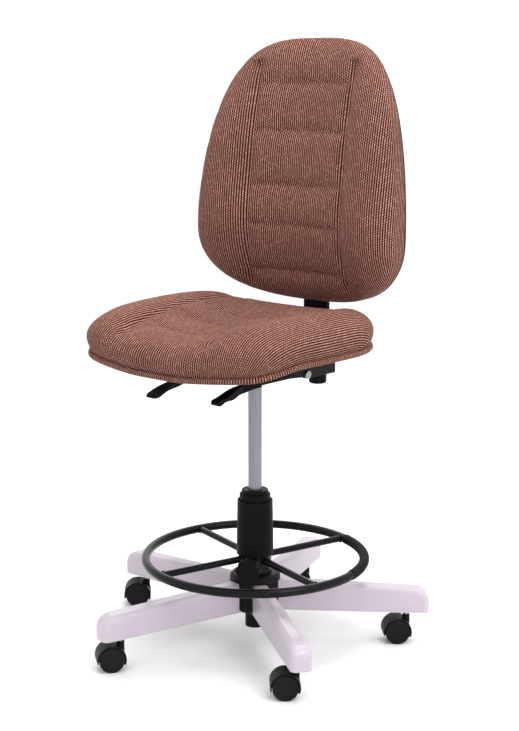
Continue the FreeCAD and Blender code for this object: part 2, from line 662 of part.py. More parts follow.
def blade(side_points, plan_points):
    """A moulded lever blade: its side outline and its plan outline, crossed."""
    side = smooth_loop([V(0, y, z) for y, z in side_points])
    plan = smooth_loop([V(x, y, 0) for x, y in plan_points])
    side_body = Part.Face(side).extrude(V(200, 0, 0))
    side_body.translate(V(-100, 0, 0))
    plan_body = Part.Face(plan).extrude(V(0, 0, 100))
    plan_body.translate(V(0, 0, BOX_BOTTOM_Z - 40))
    return side_body.common(plan_body)


def lever_arm(side, shaft_y, shaft_z, front, low_z):
    """The flat arm beside the mechanism, its riser and the shaft it turns on."""
    inner = side * (LEVER_ARM_X - LEVER_ARM_HALF)
    outer = side * (LEVER_ARM_X + LEVER_ARM_HALF)
    left, right = min(inner, outer), max(inner, outer)
    rear = shaft_y + LEVER_ARM_H
    arm = block((left, front, low_z), (right, rear, low_z + LEVER_ARM_H))
    riser = block((left, shaft_y - LEVER_ARM_H, low_z), (right, rear, shaft_z + LEVER_ARM_H - 1))
    return arm.fuse(riser)


def build_levers():
    """The height lever with its release finger, and the back-lock lever with its cam."""
    grip = blade(HEIGHT_GRIP_SIDE, HEIGHT_GRIP_PLAN)
    arm = lever_arm(-1, HEIGHT_SHAFT_Y, HEIGHT_SHAFT_Z, HEIGHT_ARM_FRONT, HEIGHT_ARM_Z)
    shaft = Part.makeCylinder(SHAFT_R, LEVER_ARM_X + FINGER_HALF_W,
                              V(-LEVER_ARM_X, HEIGHT_SHAFT_Y, HEIGHT_SHAFT_Z), RIGHT)
    finger = block((-FINGER_HALF_W, HEIGHT_SHAFT_Y, HEIGHT_SHAFT_Z - FINGER_HALF_H),
                   (FINGER_HALF_W, 0, HEIGHT_SHAFT_Z + FINGER_HALF_H))
    nose = Part.makeCylinder(FINGER_R, 2 * FINGER_HALF_W, V(-FINGER_HALF_W, 0, HEIGHT_SHAFT_Z), RIGHT)
    parts["height_lever"] = grip.fuse([arm, shaft, finger, nose]).removeSplitter()

    grip = blade(LOCK_GRIP_SIDE, LOCK_GRIP_PLAN)
    arm = lever_arm(1, TILT_SHAFT_Y, TILT_SHAFT_Z, LOCK_ARM_FRONT, LOCK_ARM_Z)
    shaft_end = CAM_X[0] - 2
    shaft = Part.makeCylinder(SHAFT_R, LEVER_ARM_X - shaft_end,
                              V(shaft_end, TILT_SHAFT_Y, TILT_SHAFT_Z), RIGHT)
    cam = block((CAM_X[0], TILT_SHAFT_Y + CAM_REACH[0], TILT_SHAFT_Z - CAM_HALF_H),
                (CAM_X[1], TILT_SHAFT_Y + CAM_REACH[1], TILT_SHAFT_Z + CAM_HALF_H))
    parts["back_lock_lever"] = grip.fuse([arm, shaft, cam]).removeSplitter()


# --- Back frame --------------------------------------------------------------------------------------

def leaned(shape):
    """Leans a shape, built upright, about the bar."""
    return turned(shape, -LEAN, V(0, BAR_Y, LEAN_Z), RIGHT)


def bar_form(half_width):
    """The bent flat bar: level in the bracket, then up along the backrest."""
    half = BAR_T / 2
    lean = radians(LEAN)
    low_y = BAR_Y - (LEAN_Z - BAR_LOW_Z) * tan(lean)
    high_y = BAR_Y + (BAR_TOP_Z - LEAN_Z) * tan(lean)
    bend = radians(90 - LEAN)
    reach = BAR_BEND_R * tan(bend / 2)
    up = V(0, sin(lean), cos(lean))
    corner = V(0, low_y, BAR_LOW_Z)
    start = V(0, BAR_FRONT_Y, BAR_LOW_Z)
    arc_start = corner.sub(V(0, reach, 0))
    arc_end = corner.add(up.multiply(reach))
    centre = arc_start.add(V(0, 0, BAR_BEND_R))
    toward = corner.sub(centre).normalize()
    arc_mid = centre.add(toward.multiply(BAR_BEND_R))
    path = Part.Wire([
        Part.makeLine(start, arc_start),
        Part.Arc(arc_start, arc_mid, arc_end).toShape(),
        Part.makeLine(arc_end, V(0, high_y, BAR_TOP_Z)),
    ])
    section = Part.makePolygon([
        V(-half_width, BAR_FRONT_Y, BAR_LOW_Z - half), V(half_width, BAR_FRONT_Y, BAR_LOW_Z - half),
        V(half_width, BAR_FRONT_Y, BAR_LOW_Z + half), V(-half_width, BAR_FRONT_Y, BAR_LOW_Z + half),
        V(-half_width, BAR_FRONT_Y, BAR_LOW_Z - half),
    ])
    return path.makePipeShell([section], True, False)


def build_back_frame():
    """The pivoting bracket, the bent bar, its sleeve and the tension knob."""
    bar = bar_form(BAR_HALF_W)
    parts["back_bar"] = bar
    bracket = block((-BRACKET_HALF_W, BRACKET_FRONT, BRACKET_BOTTOM_Z),
                    (BRACKET_HALF_W, BRACKET_REAR, BRACKET_TOP_Z))
    bracket = bracket.makeFillet(BRACKET_ROUND, edges_where(
        bracket, lambda p: abs(p.x) > BRACKET_HALF_W - 1 and p.y > BRACKET_REAR - 1))
    for side in (-1, 1):
        low_x = side * (BOX_HALF_W - BOX_WALL - EAR_GAP)
        high_x = low_x - side * EAR_T
        ear = block((min(low_x, high_x), PIVOT_Y, PIVOT_Z - EAR_R),
                    (max(low_x, high_x), BRACKET_FRONT + EAR_OVERLAP, PIVOT_Z + EAR_R))
        round_end = Part.makeCylinder(EAR_R, EAR_T, V(min(low_x, high_x), PIVOT_Y, PIVOT_Z), RIGHT)
        bracket = bracket.fuse(ear).fuse(round_end)
    pivot_hole = Part.makeCylinder(PIVOT_R + RUN_CLEAR, 140, V(-70, PIVOT_Y, PIVOT_Z), RIGHT)
    knob_hole = Part.makeCylinder(STUD_R + RUN_CLEAR, TENSION_STUD_LENGTH + 3,
                                  V(TENSION_KNOB_X, TENSION_KNOB_Y, BRACKET_BOTTOM_Z - 1))
    parts["back_bracket"] = bracket.cut(pivot_hole).cut(knob_hole).cut(bar).removeSplitter()

    sleeve = block((-BAR_SLEEVE_HALF_W, BAR_Y - BAR_SLEEVE_T / 2, BRACKET_TOP_Z + 2),
                   (BAR_SLEEVE_HALF_W, BAR_Y + BAR_SLEEVE_T / 2, BAR_SLEEVE_TOP_Z))
    corners = edges_where(sleeve, lambda p: abs(p.x) > BAR_HALF_W and abs(p.y - BAR_Y) > BAR_T / 2)
    sleeve = sleeve.makeFillet(BAR_SLEEVE_ROUND, [
        edge for edge in corners if edge.Length > BAR_SLEEVE_T])
    parts["bar_sleeve"] = leaned(sleeve).cut(bar)

    knob_top = BRACKET_BOTTOM_Z - GAP
    knob = Part.makeCylinder(TENSION_KNOB_R, knob_top - TENSION_KNOB_BOTTOM_Z,
                             V(TENSION_KNOB_X, TENSION_KNOB_Y, TENSION_KNOB_BOTTOM_Z))
    knob = knob.makeFillet(4, edges_where(knob, lambda p: p.z < TENSION_KNOB_BOTTOM_Z + 1))
    for index in range(TENSION_GROOVES):
        groove = V(TENSION_KNOB_X, TENSION_KNOB_Y, TENSION_KNOB_BOTTOM_Z + 3).add(
            polar(TENSION_KNOB_R + 0.8, 360 * index / TENSION_GROOVES))
        knob = knob.cut(Part.makeCylinder(TENSION_GROOVE_R, 30, groove))
    stud = Part.makeCylinder(STUD_R, TENSION_STUD_LENGTH, V(TENSION_KNOB_X, TENSION_KNOB_Y, knob_top))
    parts["tension_knob"] = knob.fuse(stud)


# --- Backrest --------------------------------------------------------------------------------------------

def back_outline(inset, count=48):
    """The backrest's egg-shaped front view, drawn inside its outer line by inset."""
    half_w = BACK_HALF_W - inset
    below = BACK_WIDEST - inset
    above = BACK_HEIGHT - BACK_WIDEST - inset
    widest_z = BACK_BOTTOM_Z + BACK_WIDEST
    points = []
    for index in range(count):
        angle = 2 * pi * (index + 0.5) / count
        upper = sin(angle) > 0
        across_power, up_power = BACK_TOP_POWERS if upper else BACK_LOW_POWERS
        across = half_w * abs(cos(angle)) ** (2 / across_power)
        rise = (above if upper else below) * abs(sin(angle)) ** (2 / up_power)
        points.append(V(across if cos(angle) > 0 else -across, 0,
                        widest_z + (rise if upper else -rise)))
    return smooth_loop(points)


def back_layer(inset, front, rear):
    """One curved layer of the backrest, between two depths measured from its rear face."""
    outline = Part.Face(back_outline(inset))
    outline.translate(V(0, BACK_REAR_Y - 250, 0))
    body = outline.extrude(V(0, 300, 0))
    centre = V(0, BACK_REAR_Y - BACK_CURVE_R, BACK_BOTTOM_Z - 50)
    height = BACK_HEIGHT + 100
    outer = Part.makeCylinder(BACK_CURVE_R - rear, height, centre)
    inner = Part.makeCylinder(BACK_CURVE_R - front, height, centre)
    return body.common(outer.cut(inner))


def rim_edges(shape, rear):
    """The long outline edges of a layer, on its rear face or on its front face."""
    longest = sorted(shape.Edges, key=lambda edge: edge.Length)[-2:]
    longest.sort(key=lambda edge: edge.CenterOfMass.y)
    return longest[1:] if rear else longest[:1]


def back_shell():
    """The moulded rear cover: a dish with a rounded rim, slotted below for the bar."""
    outer = back_layer(SHELL_INSET, BACK_SHELL_DEPTH, 0)
    outer = outer.makeFillet(BACK_SHELL_ROUND, rim_edges(outer, True))
    hollow = back_layer(SHELL_INSET + BACK_SHELL_T, BACK_SHELL_DEPTH + 1, BACK_SHELL_T)
    hollow = hollow.makeFillet(BACK_SHELL_ROUND - BACK_SHELL_T, rim_edges(hollow, True))
    slot = block((-BAR_SLOT_HALF_W, BAR_Y - BAR_SLOT_HALF_T, BACK_BOTTOM_Z - 10),
                 (BAR_SLOT_HALF_W, BAR_Y + BAR_SLOT_HALF_T, SLIDER_BOTTOM_Z))
    return outer.cut(hollow).cut(slot)


def back_cushion():
    """The padded front, rounded at its rim and hollowed behind for the board."""
    board_front = BACK_SHELL_DEPTH + BACK_BOARD_T
    cushion = back_layer(0, BACK_DEPTH, BACK_SHELL_DEPTH)
    cushion = cushion.makeFillet(BACK_CUSHION_ROUND, rim_edges(cushion, False))
    return cushion.cut(back_layer(BOARD_INSET, board_front, BACK_SHELL_DEPTH - 1))


def build_backrest():
    """The cushion, its board, the rear shell and the slider that grips the bar."""
    board = back_layer(BOARD_INSET, BACK_SHELL_DEPTH + BACK_BOARD_T, BACK_SHELL_DEPTH)
    slider = block((-SLIDER_HALF_W, BACK_REAR_Y - BACK_SHELL_DEPTH, SLIDER_BOTTOM_Z),
                   (SLIDER_HALF_W, SLIDER_REAR_Y, SLIDER_TOP_Z))
    half_w = BAR_HALF_W + SLIDER_FIT
    half_t = BAR_T / 2 + SLIDER_FIT
    channel = block((-half_w, BAR_Y - half_t, SLIDER_BOTTOM_Z - 1),
                    (half_w, BAR_Y + half_t, SLIDER_TOP_Z - SLIDER_ROOF_T))
    for name, shape in (("back_cushion", back_cushion()), ("back_board", board),
                        ("back_shell", back_shell()), ("back_slider", slider.cut(channel))):
        parts[name] = leaned(shape)


build_base()
build_casters()
build_column()
build_column_covers()
build_foot_ring()
build_seat()
build_mechanism()
build_levers()
build_back_frame()
build_backrest()

os.makedirs("parts", exist_ok=True)
for name, shape in parts.items():
    shape.exportStep(os.path.join("parts", name + ".step"))
    box = shape.BoundBox
    print(f"{name:20s} solids {len(shape.Solids)} valid {shape.isValid()} volume {shape.Volume:.0f} "
          f"x {box.XMin:.1f} {box.XMax:.1f} y {box.YMin:.1f} {box.YMax:.1f} "
          f"z {box.ZMin:.1f} {box.ZMax:.1f}")
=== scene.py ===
"""The looks of an adjustable swivel stool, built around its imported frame."""

import json
import logging
import math
from dataclasses import dataclass, field
from enum import Enum
from typing import Iterable

import bmesh
import bpy
from mathutils import Matrix, Vector


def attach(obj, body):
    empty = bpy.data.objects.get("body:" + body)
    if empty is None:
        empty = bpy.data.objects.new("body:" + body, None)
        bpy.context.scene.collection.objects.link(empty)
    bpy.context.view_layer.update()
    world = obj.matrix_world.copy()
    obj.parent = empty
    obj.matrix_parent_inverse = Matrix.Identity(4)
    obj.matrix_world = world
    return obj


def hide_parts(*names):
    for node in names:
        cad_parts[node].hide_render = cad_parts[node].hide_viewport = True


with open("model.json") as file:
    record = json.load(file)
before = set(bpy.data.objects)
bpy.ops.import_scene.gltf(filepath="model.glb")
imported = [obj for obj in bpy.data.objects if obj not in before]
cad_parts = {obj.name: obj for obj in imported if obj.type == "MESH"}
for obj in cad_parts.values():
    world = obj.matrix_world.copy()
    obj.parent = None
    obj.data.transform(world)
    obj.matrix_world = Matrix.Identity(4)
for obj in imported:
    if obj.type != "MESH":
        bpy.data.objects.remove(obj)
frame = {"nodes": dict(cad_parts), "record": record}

LOG = logging.getLogger("swivel_stool")
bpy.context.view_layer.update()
NODES = frame["nodes"]
CLOTH_MAP = "cloth"
# The camera's sensor in mm, its far clip in m, and the height the lamps point at in m.
SENSOR_WIDTH = 36.0
FAR_CLIP = 60.0
AIM_HEIGHT = 0.6


class Slot(Enum):
    """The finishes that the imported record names."""

    FABRIC = "fabric"
    WHITE_PAINT = "white_paint"
    GLOSS_BLACK = "gloss_black"
    BLACK_PAINT = "black_paint"
    BLACK_CASTING = "black_casting"
    BLACK_PLASTIC = "black_plastic"
    BLACK_GRIP = "black_grip"
    CASTER_PLASTIC = "caster_plastic"
    WHEEL_PLASTIC = "wheel_plastic"
    CYLINDER_STEEL = "cylinder_steel"
    BRIGHT_STEEL = "bright_steel"
    PLYWOOD = "plywood"
    NYLON = "nylon"


# --- Shader building ------------------------------------------------------------------


class NodeBench:
    """Adds nodes and links to one shader node tree."""

    def __init__(self, tree: bpy.types.NodeTree) -> None:
        """Starts work on a tree.

        Args:
            tree: the material's tree or a node group.
        """
        self.tree = tree

    def node(self, kind: str, **settings: object) -> bpy.types.Node:
        """Adds one node.

        Args:
            kind: the node's type name without the ShaderNode prefix.
            **settings: attributes to set on the node.

        Returns:
            The new node.
        """
        made = self.tree.nodes.new("ShaderNode" + kind)
        for name, value in settings.items():
            setattr(made, name, value)
        return made

    def feed(self, socket: bpy.types.NodeSocket, value: object) -> None:
        """Links a socket to an input, or sets the input to a constant."""
        if isinstance(value, bpy.types.NodeSocket):
            self.tree.links.new(value, socket)
        else:
            socket.default_value = value

    def math(self, operation: str, *values: object) -> bpy.types.NodeSocket:
        """Adds a Math node.

        Args:
            operation: the node's operation.
            *values: sockets or numbers, in the node's order.

        Returns:
            The result's socket.
        """
        made = self.node("Math", operation=operation)
        for index, value in enumerate(values):
            self.feed(made.inputs[index], value)
        return made.outputs[0]

    def spread(self, value: object, low: float, high: float, to_low: float = 0.0,
               to_high: float = 1.0) -> bpy.types.NodeSocket:
        """Maps one range of a value smoothly to another.

        Args:
            value: the socket to map.
            low: the value that gives to_low.
            high: the value that gives to_high.
            to_low: the result at low.
            to_high: the result at high.

        Returns:
            The mapped value's socket.
        """
        made = self.node("MapRange", interpolation_type="SMOOTHSTEP")
        self.feed(made.inputs["Value"], value)
        made.inputs["From Min"].default_value = low
        made.inputs["From Max"].default_value = high
        made.inputs["To Min"].default_value = to_low
        made.inputs["To Max"].default_value = to_high
        return made.outputs["Result"]

    def noise(self, vector: object, scale: float, detail: float = 3.0,
              rough: float = 0.5) -> bpy.types.NodeSocket:
        """Adds a Noise Texture and returns its value socket."""
        made = self.node("TexNoise")
        self.feed(made.inputs["Vector"], vector)
        self.feed(made.inputs["Scale"], scale)
        made.inputs["Detail"].default_value = detail
        made.inputs["Roughness"].default_value = rough
        return made.outputs["Fac"]

    def mix(self, factor: object, first: object, second: object) -> bpy.types.NodeSocket:
        """Mixes two colours.

        Args:
            factor: how much of the second colour, as a socket or a number.
            first: the colour at factor 0.
            second: the colour at factor 1.

        Returns:
            The mixed colour's socket.
        """
        made = self.node("Mix", data_type="RGBA")
        self.feed(made.inputs[0], factor)
        self.feed(made.inputs[6], first)
        self.feed(made.inputs[7], second)
        return made.outputs[2]

    def bump(self, height: object, distance: float, strength: float = 1.0,
             normal: object = None) -> bpy.types.NodeSocket:
        """Adds a Bump node and returns its normal socket."""
        made = self.node("Bump")
        made.inputs["Distance"].default_value = distance
        made.inputs["Strength"].default_value = strength
        self.feed(made.inputs["Height"], height)
        if normal is not None:
            self.feed(made.inputs["Normal"], normal)
        return made.outputs["Normal"]


class EffectGroups:
    """Shader node groups for the effects that several finishes share."""

    def __init__(self) -> None:
        """Builds each group once."""
        self.edge_wear = self._edge_wear()
        self.surface_life = self._surface_life()
        self.moulded_grain = self._moulded_grain()
        self.ribbed_tweed = self._ribbed_tweed()

    @staticmethod
    def _start(name: str, inputs: Iterable[tuple[str, str, object]],
               outputs: Iterable[tuple[str, str]]) -> tuple[NodeBench, object, object]:
        """Makes an empty group with its sockets.

        Args:
            name: the group's name.
            inputs: name, socket type and default of each input.
            outputs: name and socket type of each output.

        Returns:
            The bench on its tree, the input node and the output node.
        """
        tree = bpy.data.node_groups.new(name, "ShaderNodeTree")
        for label, kind, default in inputs:
            socket = tree.interface.new_socket(label, in_out="INPUT", socket_type=kind)
            if default is not None:
                socket.default_value = default
        for label, kind in outputs:
            tree.interface.new_socket(label, in_out="OUTPUT", socket_type=kind)
        enter = tree.nodes.new("NodeGroupInput")
        leave = tree.nodes.new("NodeGroupOutput")
        return NodeBench(tree), enter, leave

    def _edge_wear(self) -> bpy.types.NodeTree:
        """Rounded edges' normal, and a broken mask along them."""
        bench, enter, leave = self._start(
            "edge_wear",
            [("Vector", "NodeSocketVector", None), ("Width", "NodeSocketFloat", 0.001),
             ("Breakup", "NodeSocketFloat", 90.0)],
            [("Mask", "NodeSocketFloat"), ("Normal", "NodeSocketVector")])
        bevel = bench.node("Bevel", samples=4)
        bench.feed(bevel.inputs["Radius"], enter.outputs["Width"])
        geometry = bench.node("NewGeometry")
        dot = bench.node("VectorMath", operation="DOT_PRODUCT")
        bench.feed(dot.inputs[0], bevel.outputs["Normal"])
        bench.feed(dot.inputs[1], geometry.outputs["Normal"])
        turned = bench.math("SUBTRACT", 1.0, dot.outputs["Value"])
        edge = bench.spread(turned, 0.01, 0.2)
        noise = bench.noise(enter.outputs["Vector"], enter.outputs["Breakup"], 5.0, 0.65)
        broken = bench.spread(noise, 0.42, 0.68)
        bench.feed(leave.inputs["Mask"], bench.math("MULTIPLY", edge, broken))
        bench.feed(leave.inputs["Normal"], bevel.outputs["Normal"])
        return bench.tree

    def _surface_life(self) -> bpy.types.NodeTree:
        """Large mottling, fine scratches and settled dust."""
        bench, enter, leave = self._start(
            "surface_life",
            [("Vector", "NodeSocketVector", None), ("Mottle Scale", "NodeSocketFloat", 14.0)],
            [("Mottle", "NodeSocketFloat"), ("Scuffs", "NodeSocketFloat"),
             ("Dust", "NodeSocketFloat")])
        mottle = bench.noise(enter.outputs["Vector"], enter.outputs["Mottle Scale"], 4.0, 0.6)
        bench.feed(leave.inputs["Mottle"], bench.spread(mottle, 0.3, 0.7))
        stretch = bench.node("Mapping")
        stretch.inputs["Rotation"].default_value = (0.5, 0.9, 0.3)
        stretch.inputs["Scale"].default_value = (420.0, 26.0, 60.0)
        bench.feed(stretch.inputs["Vector"], enter.outputs["Vector"])
        lines = bench.noise(stretch.outputs["Vector"], 1.0, 2.0, 0.4)
        patches = bench.noise(enter.outputs["Vector"], 22.0, 3.0, 0.5)
        scuffs = bench.math("MULTIPLY", bench.spread(lines, 0.62, 0.72),
                            bench.spread(patches, 0.5, 0.66))
        bench.feed(leave.inputs["Scuffs"], scuffs)
        geometry = bench.node("NewGeometry")
        split = bench.node("SeparateXYZ")
        bench.feed(split.inputs[0], geometry.outputs["Normal"])
        upward = bench.spread(split.outputs["Z"], 0.35, 1.0)
        specks = bench.noise(enter.outputs["Vector"], 260.0, 4.0, 0.7)
        bench.feed(leave.inputs["Dust"],
                   bench.math("MULTIPLY", upward, bench.spread(specks, 0.35, 0.8)))
        return bench.tree

    def _moulded_grain(self) -> bpy.types.NodeTree:
        """The fine leather-like grain of moulded plastic."""
        bench, enter, leave = self._start(
            "moulded_grain",
            [("Vector", "NodeSocketVector", None), ("Scale", "NodeSocketFloat", 1100.0)],
            [("Height", "NodeSocketFloat")])
        cells = bench.node("TexVoronoi", feature="SMOOTH_F1")
        bench.feed(cells.inputs["Vector"], enter.outputs["Vector"])
        bench.feed(cells.inputs["Scale"], enter.outputs["Scale"])
        fine = bench.noise(enter.outputs["Vector"], 2600.0, 2.0, 0.5)
        faint = bench.math("MULTIPLY", fine, 0.35)
        height = bench.math("ADD", cells.outputs["Distance"], faint)
        bench.feed(leave.inputs["Height"], height)
        return bench.tree

    def _ribbed_tweed(self) -> bpy.types.NodeTree:
        """Ribs of twisted two-colour yarn along one direction of the cloth."""
        bench, enter, leave = self._start(
            "ribbed_tweed",
            [("Cloth", "NodeSocketVector", None), ("Rib Pitch", "NodeSocketFloat", 0.0048),
             ("Stitch Pitch", "NodeSocketFloat", 0.0048)],
            [("Pale", "NodeSocketFloat"), ("Fleck", "NodeSocketFloat"),
             ("Height", "NodeSocketFloat"), ("Fuzz", "NodeSocketFloat")])
        split = bench.node("SeparateXYZ")
        bench.feed(split.inputs[0], enter.outputs["Cloth"])
        wander = bench.noise(enter.outputs["Cloth"], 45.0, 2.0, 0.5)
        sway = bench.math("MULTIPLY", bench.math("SUBTRACT", wander, 0.5), 0.0006)
        across = bench.math("DIVIDE", bench.math("ADD", split.outputs["X"], sway),
                            enter.outputs["Rib Pitch"])
        along = bench.math("DIVIDE", split.outputs["Y"], enter.outputs["Stitch Pitch"])
        row = bench.math("FLOOR", across)
        half = bench.math("MULTIPLY", bench.math("FLOORED_MODULO", row, 2.0), 0.5)
        shifted = bench.math("ADD", along, half)
        rib = bench.math("SINE", bench.math("MULTIPLY", bench.math("FRACT", across), math.pi))
        arch = bench.math("MULTIPLY", bench.math("FRACT", shifted), math.pi)
        bead = bench.math("SINE", arch)
        cell = bench.node("CombineXYZ")
        bench.feed(cell.inputs[0], row)
        bench.feed(cell.inputs[1], bench.math("FLOOR", shifted))
        chance = bench.node("TexWhiteNoise", noise_dimensions="2D")
        bench.feed(chance.inputs["Vector"], cell.outputs[0])
        stitch = bench.math("MULTIPLY", bench.spread(rib, 0.62, 0.96),
                            bench.spread(bead, 0.15, 0.75, 0.34, 1.0))
        lit = bench.math("MULTIPLY", stitch, bench.spread(chance.outputs["Value"], 0.0, 1.0,
                                                          0.86, 1.0))
        bench.feed(leave.inputs["Pale"], lit)
        bench.feed(leave.inputs["Fleck"], chance.outputs["Value"])
        fibre = bench.noise(enter.outputs["Cloth"], 2400.0, 3.0, 0.6)
        height = bench.math("ADD", stitch, bench.math("MULTIPLY", fibre, 0.3))
        bench.feed(leave.inputs["Height"], height)
        bench.feed(leave.inputs["Fuzz"], fibre)
        return bench.tree


class Material:
    """One Principled material being put together."""

    def __init__(self, name: str) -> None:
        """Makes the material, its shader and its position source.

        Args:
            name: the material's name.
        """
        self.data = bpy.data.materials.new(name)
        self.data.use_nodes = True
        self.data.node_tree.nodes.clear()
        self.bench = NodeBench(self.data.node_tree)
        output = self.bench.node("OutputMaterial")
        self.shader = self.bench.node("BsdfPrincipled")
        self.bench.feed(output.inputs["Surface"], self.shader.outputs["BSDF"])
        self.place = self.bench.node("TexCoord").outputs["Object"]

    def group(self, tree: bpy.types.NodeTree, vector: object,
              **values: float) -> bpy.types.Node:
        """Places a shared effect.

        Args:
            tree: the effect's node group.
            vector: what its first input reads.
            **values: its other inputs, with underscores for spaces.

        Returns:
            The group node.
        """
        made = self.bench.node("Group", node_tree=tree)
        self.bench.feed(made.inputs[0], vector)
        for name, value in values.items():
            made.inputs[name.replace("_", " ")].default_value = value
        return made

    def set(self, **constants: object) -> None:
        """Sets constants on the shader's own sockets, with underscores for spaces."""
        for name, value in constants.items():
            self.shader.inputs[name.replace("_", " ")].default_value = value

    def feed(self, name: str, value: object) -> None:
        """Links one of the shader's inputs."""
        self.bench.feed(self.shader.inputs[name], value)


@dataclass(frozen=True)
class EnamelFinish:
    """A sprayed paint on metal, glossy or satin, with worn edges."""

    colour: tuple[float, float, float]
    shade: tuple[float, float, float]
    worn: tuple[float, float, float]
    roughness: tuple[float, float]
    coat: float
    peel: float = 0.00004
    edge: float = 0.0009
    dust: float = 0.05
    specular: float = 0.3

    def build(self, name: str, effects: EffectGroups) -> bpy.types.Material:
        """Builds the material.

        Args:
            name: the material's name.
            effects: the shared effects.

        Returns:
            The finished material.
        """
        made = Material(name)
        bench = made.bench
        life = made.group(effects.surface_life, made.place, Mottle_Scale=9.0)
        wear = made.group(effects.edge_wear, made.place, Width=self.edge, Breakup=120.0)
        tone = bench.mix(life.outputs["Mottle"], (*self.colour, 1), (*self.shade, 1))
        worn = bench.mix(wear.outputs["Mask"], tone, (*self.worn, 1))
        dusty = bench.mix(bench.math("MULTIPLY", life.outputs["Dust"], self.dust), worn,
                          (0.42, 0.39, 0.37, 1))
        made.feed("Base Color", dusty)
        base, scuffed = self.roughness
        rough = bench.math("ADD", base, bench.math("MULTIPLY", life.outputs["Scuffs"],
                                                   scuffed - base))
        made.feed("Roughness", bench.math("ADD", rough, bench.math(
            "MULTIPLY", life.outputs["Mottle"], 0.05)))
        peel = bench.noise(made.place, 480.0, 2.0, 0.5)
        made.feed("Normal", bench.bump(peel, self.peel, 0.6, wear.outputs["Normal"]))
        made.set(Coat_Weight=self.coat, Coat_Roughness=0.06, Specular_IOR_Level=self.specular)
        return made.data


@dataclass(frozen=True)
class MouldedFinish:
    """A moulded plastic or rubber, grained, with a dull bloom on its edges."""

    colour: tuple[float, float, float]
    bloom: tuple[float, float, float]
    roughness: float
    grain: float
    grain_scale: float = 1100.0
    edge: float = 0.0007
    specular: float = 0.05

    def build(self, name: str, effects: EffectGroups) -> bpy.types.Material:
        """Builds the material.

        Args:
            name: the material's name.
            effects: the shared effects.

        Returns:
            The finished material.
        """
        made = Material(name)
        bench = made.bench
        life = made.group(effects.surface_life, made.place, Mottle_Scale=16.0)
        wear = made.group(effects.edge_wear, made.place, Width=self.edge, Breakup=160.0)
        grain = made.group(effects.moulded_grain, made.place, Scale=self.grain_scale)
        tone = bench.mix(bench.math("MULTIPLY", life.outputs["Mottle"], 0.35),
                         (*self.colour, 1), (*self.bloom, 1))
        edged = bench.mix(bench.math("MULTIPLY", wear.outputs["Mask"], 0.6), tone,
                          (*self.bloom, 1))
        dusty = bench.mix(bench.math("MULTIPLY", life.outputs["Dust"], 0.03), edged,
                          (0.3, 0.28, 0.27, 1))
        made.feed("Base Color", dusty)
        worn = bench.math("MULTIPLY", life.outputs["Scuffs"], 0.18)
        patchy = bench.math("MULTIPLY", life.outputs["Mottle"], 0.08)
        made.feed("Roughness", bench.math("ADD", self.roughness, bench.math(
            "ADD", worn, patchy)))
        made.feed("Normal", bench.bump(grain.outputs["Height"], self.grain, 0.7,
                                       wear.outputs["Normal"]))
        made.set(Specular_IOR_Level=self.specular)
        return made.data


@dataclass(frozen=True)
class SteelFinish:
    """Bare or plated steel, drawn or ground along Z."""

    colour: tuple[float, float, float]
    shade: tuple[float, float, float]
    roughness: float
    metallic: float = 1.0

    def build(self, name: str, effects: EffectGroups) -> bpy.types.Material:
        """Builds the material.

        Args:
            name: the material's name.
            effects: the shared effects.

        Returns:
            The finished material.
        """
        made = Material(name)
        bench = made.bench
        life = made.group(effects.surface_life, made.place, Mottle_Scale=30.0)
        wear = made.group(effects.edge_wear, made.place, Width=0.0005, Breakup=200.0)
        drawn = bench.node("Mapping")
        drawn.inputs["Scale"].default_value = (900.0, 900.0, 30.0)
        bench.feed(drawn.inputs["Vector"], made.place)
        lines = bench.noise(drawn.outputs["Vector"], 1.0, 3.0, 0.6)
        tone = bench.mix(bench.spread(lines, 0.3, 0.7), (*self.colour, 1), (*self.shade, 1))
        made.feed("Base Color", bench.mix(bench.math(
            "MULTIPLY", life.outputs["Mottle"], 0.3), tone, (*self.shade, 1)))
        made.feed("Roughness", bench.math("ADD", self.roughness, bench.math(
            "MULTIPLY", lines, 0.14)))
        made.feed("Normal", bench.bump(lines, 0.00003, 0.5, wear.outputs["Normal"]))
        made.set(Metallic=self.metallic)
        return made.data


@dataclass(frozen=True)
class PlywoodFinish:
    """Raw beech plywood: long grain, pores and flecks."""

    pale: tuple[float, float, float]
    dark: tuple[float, float, float]

    def build(self, name: str, effects: EffectGroups) -> bpy.types.Material:
        """Builds the material.

        Args:
            name: the material's name.
            effects: the shared effects.

        Returns:
            The finished material.
        """
        made = Material(name)
        bench = made.bench
        life = made.group(effects.surface_life, made.place, Mottle_Scale=7.0)
        along = bench.node("Mapping")
        along.inputs["Scale"].default_value = (90.0, 6.0, 500.0)
        bench.feed(along.inputs["Vector"], made.place)
        grain = bench.noise(along.outputs["Vector"], 1.0, 6.0, 0.65)
        tone = bench.mix(bench.spread(grain, 0.35, 0.7), (*self.pale, 1), (*self.dark, 1))
        made.feed("Base Color", bench.mix(bench.math(
            "MULTIPLY", life.outputs["Mottle"], 0.25), tone, (*self.dark, 1)))
        made.feed("Roughness", bench.spread(grain, 0.2, 0.8, 0.55, 0.75))
        made.feed("Normal", bench.bump(grain, 0.0002, 0.6))
        return made.data


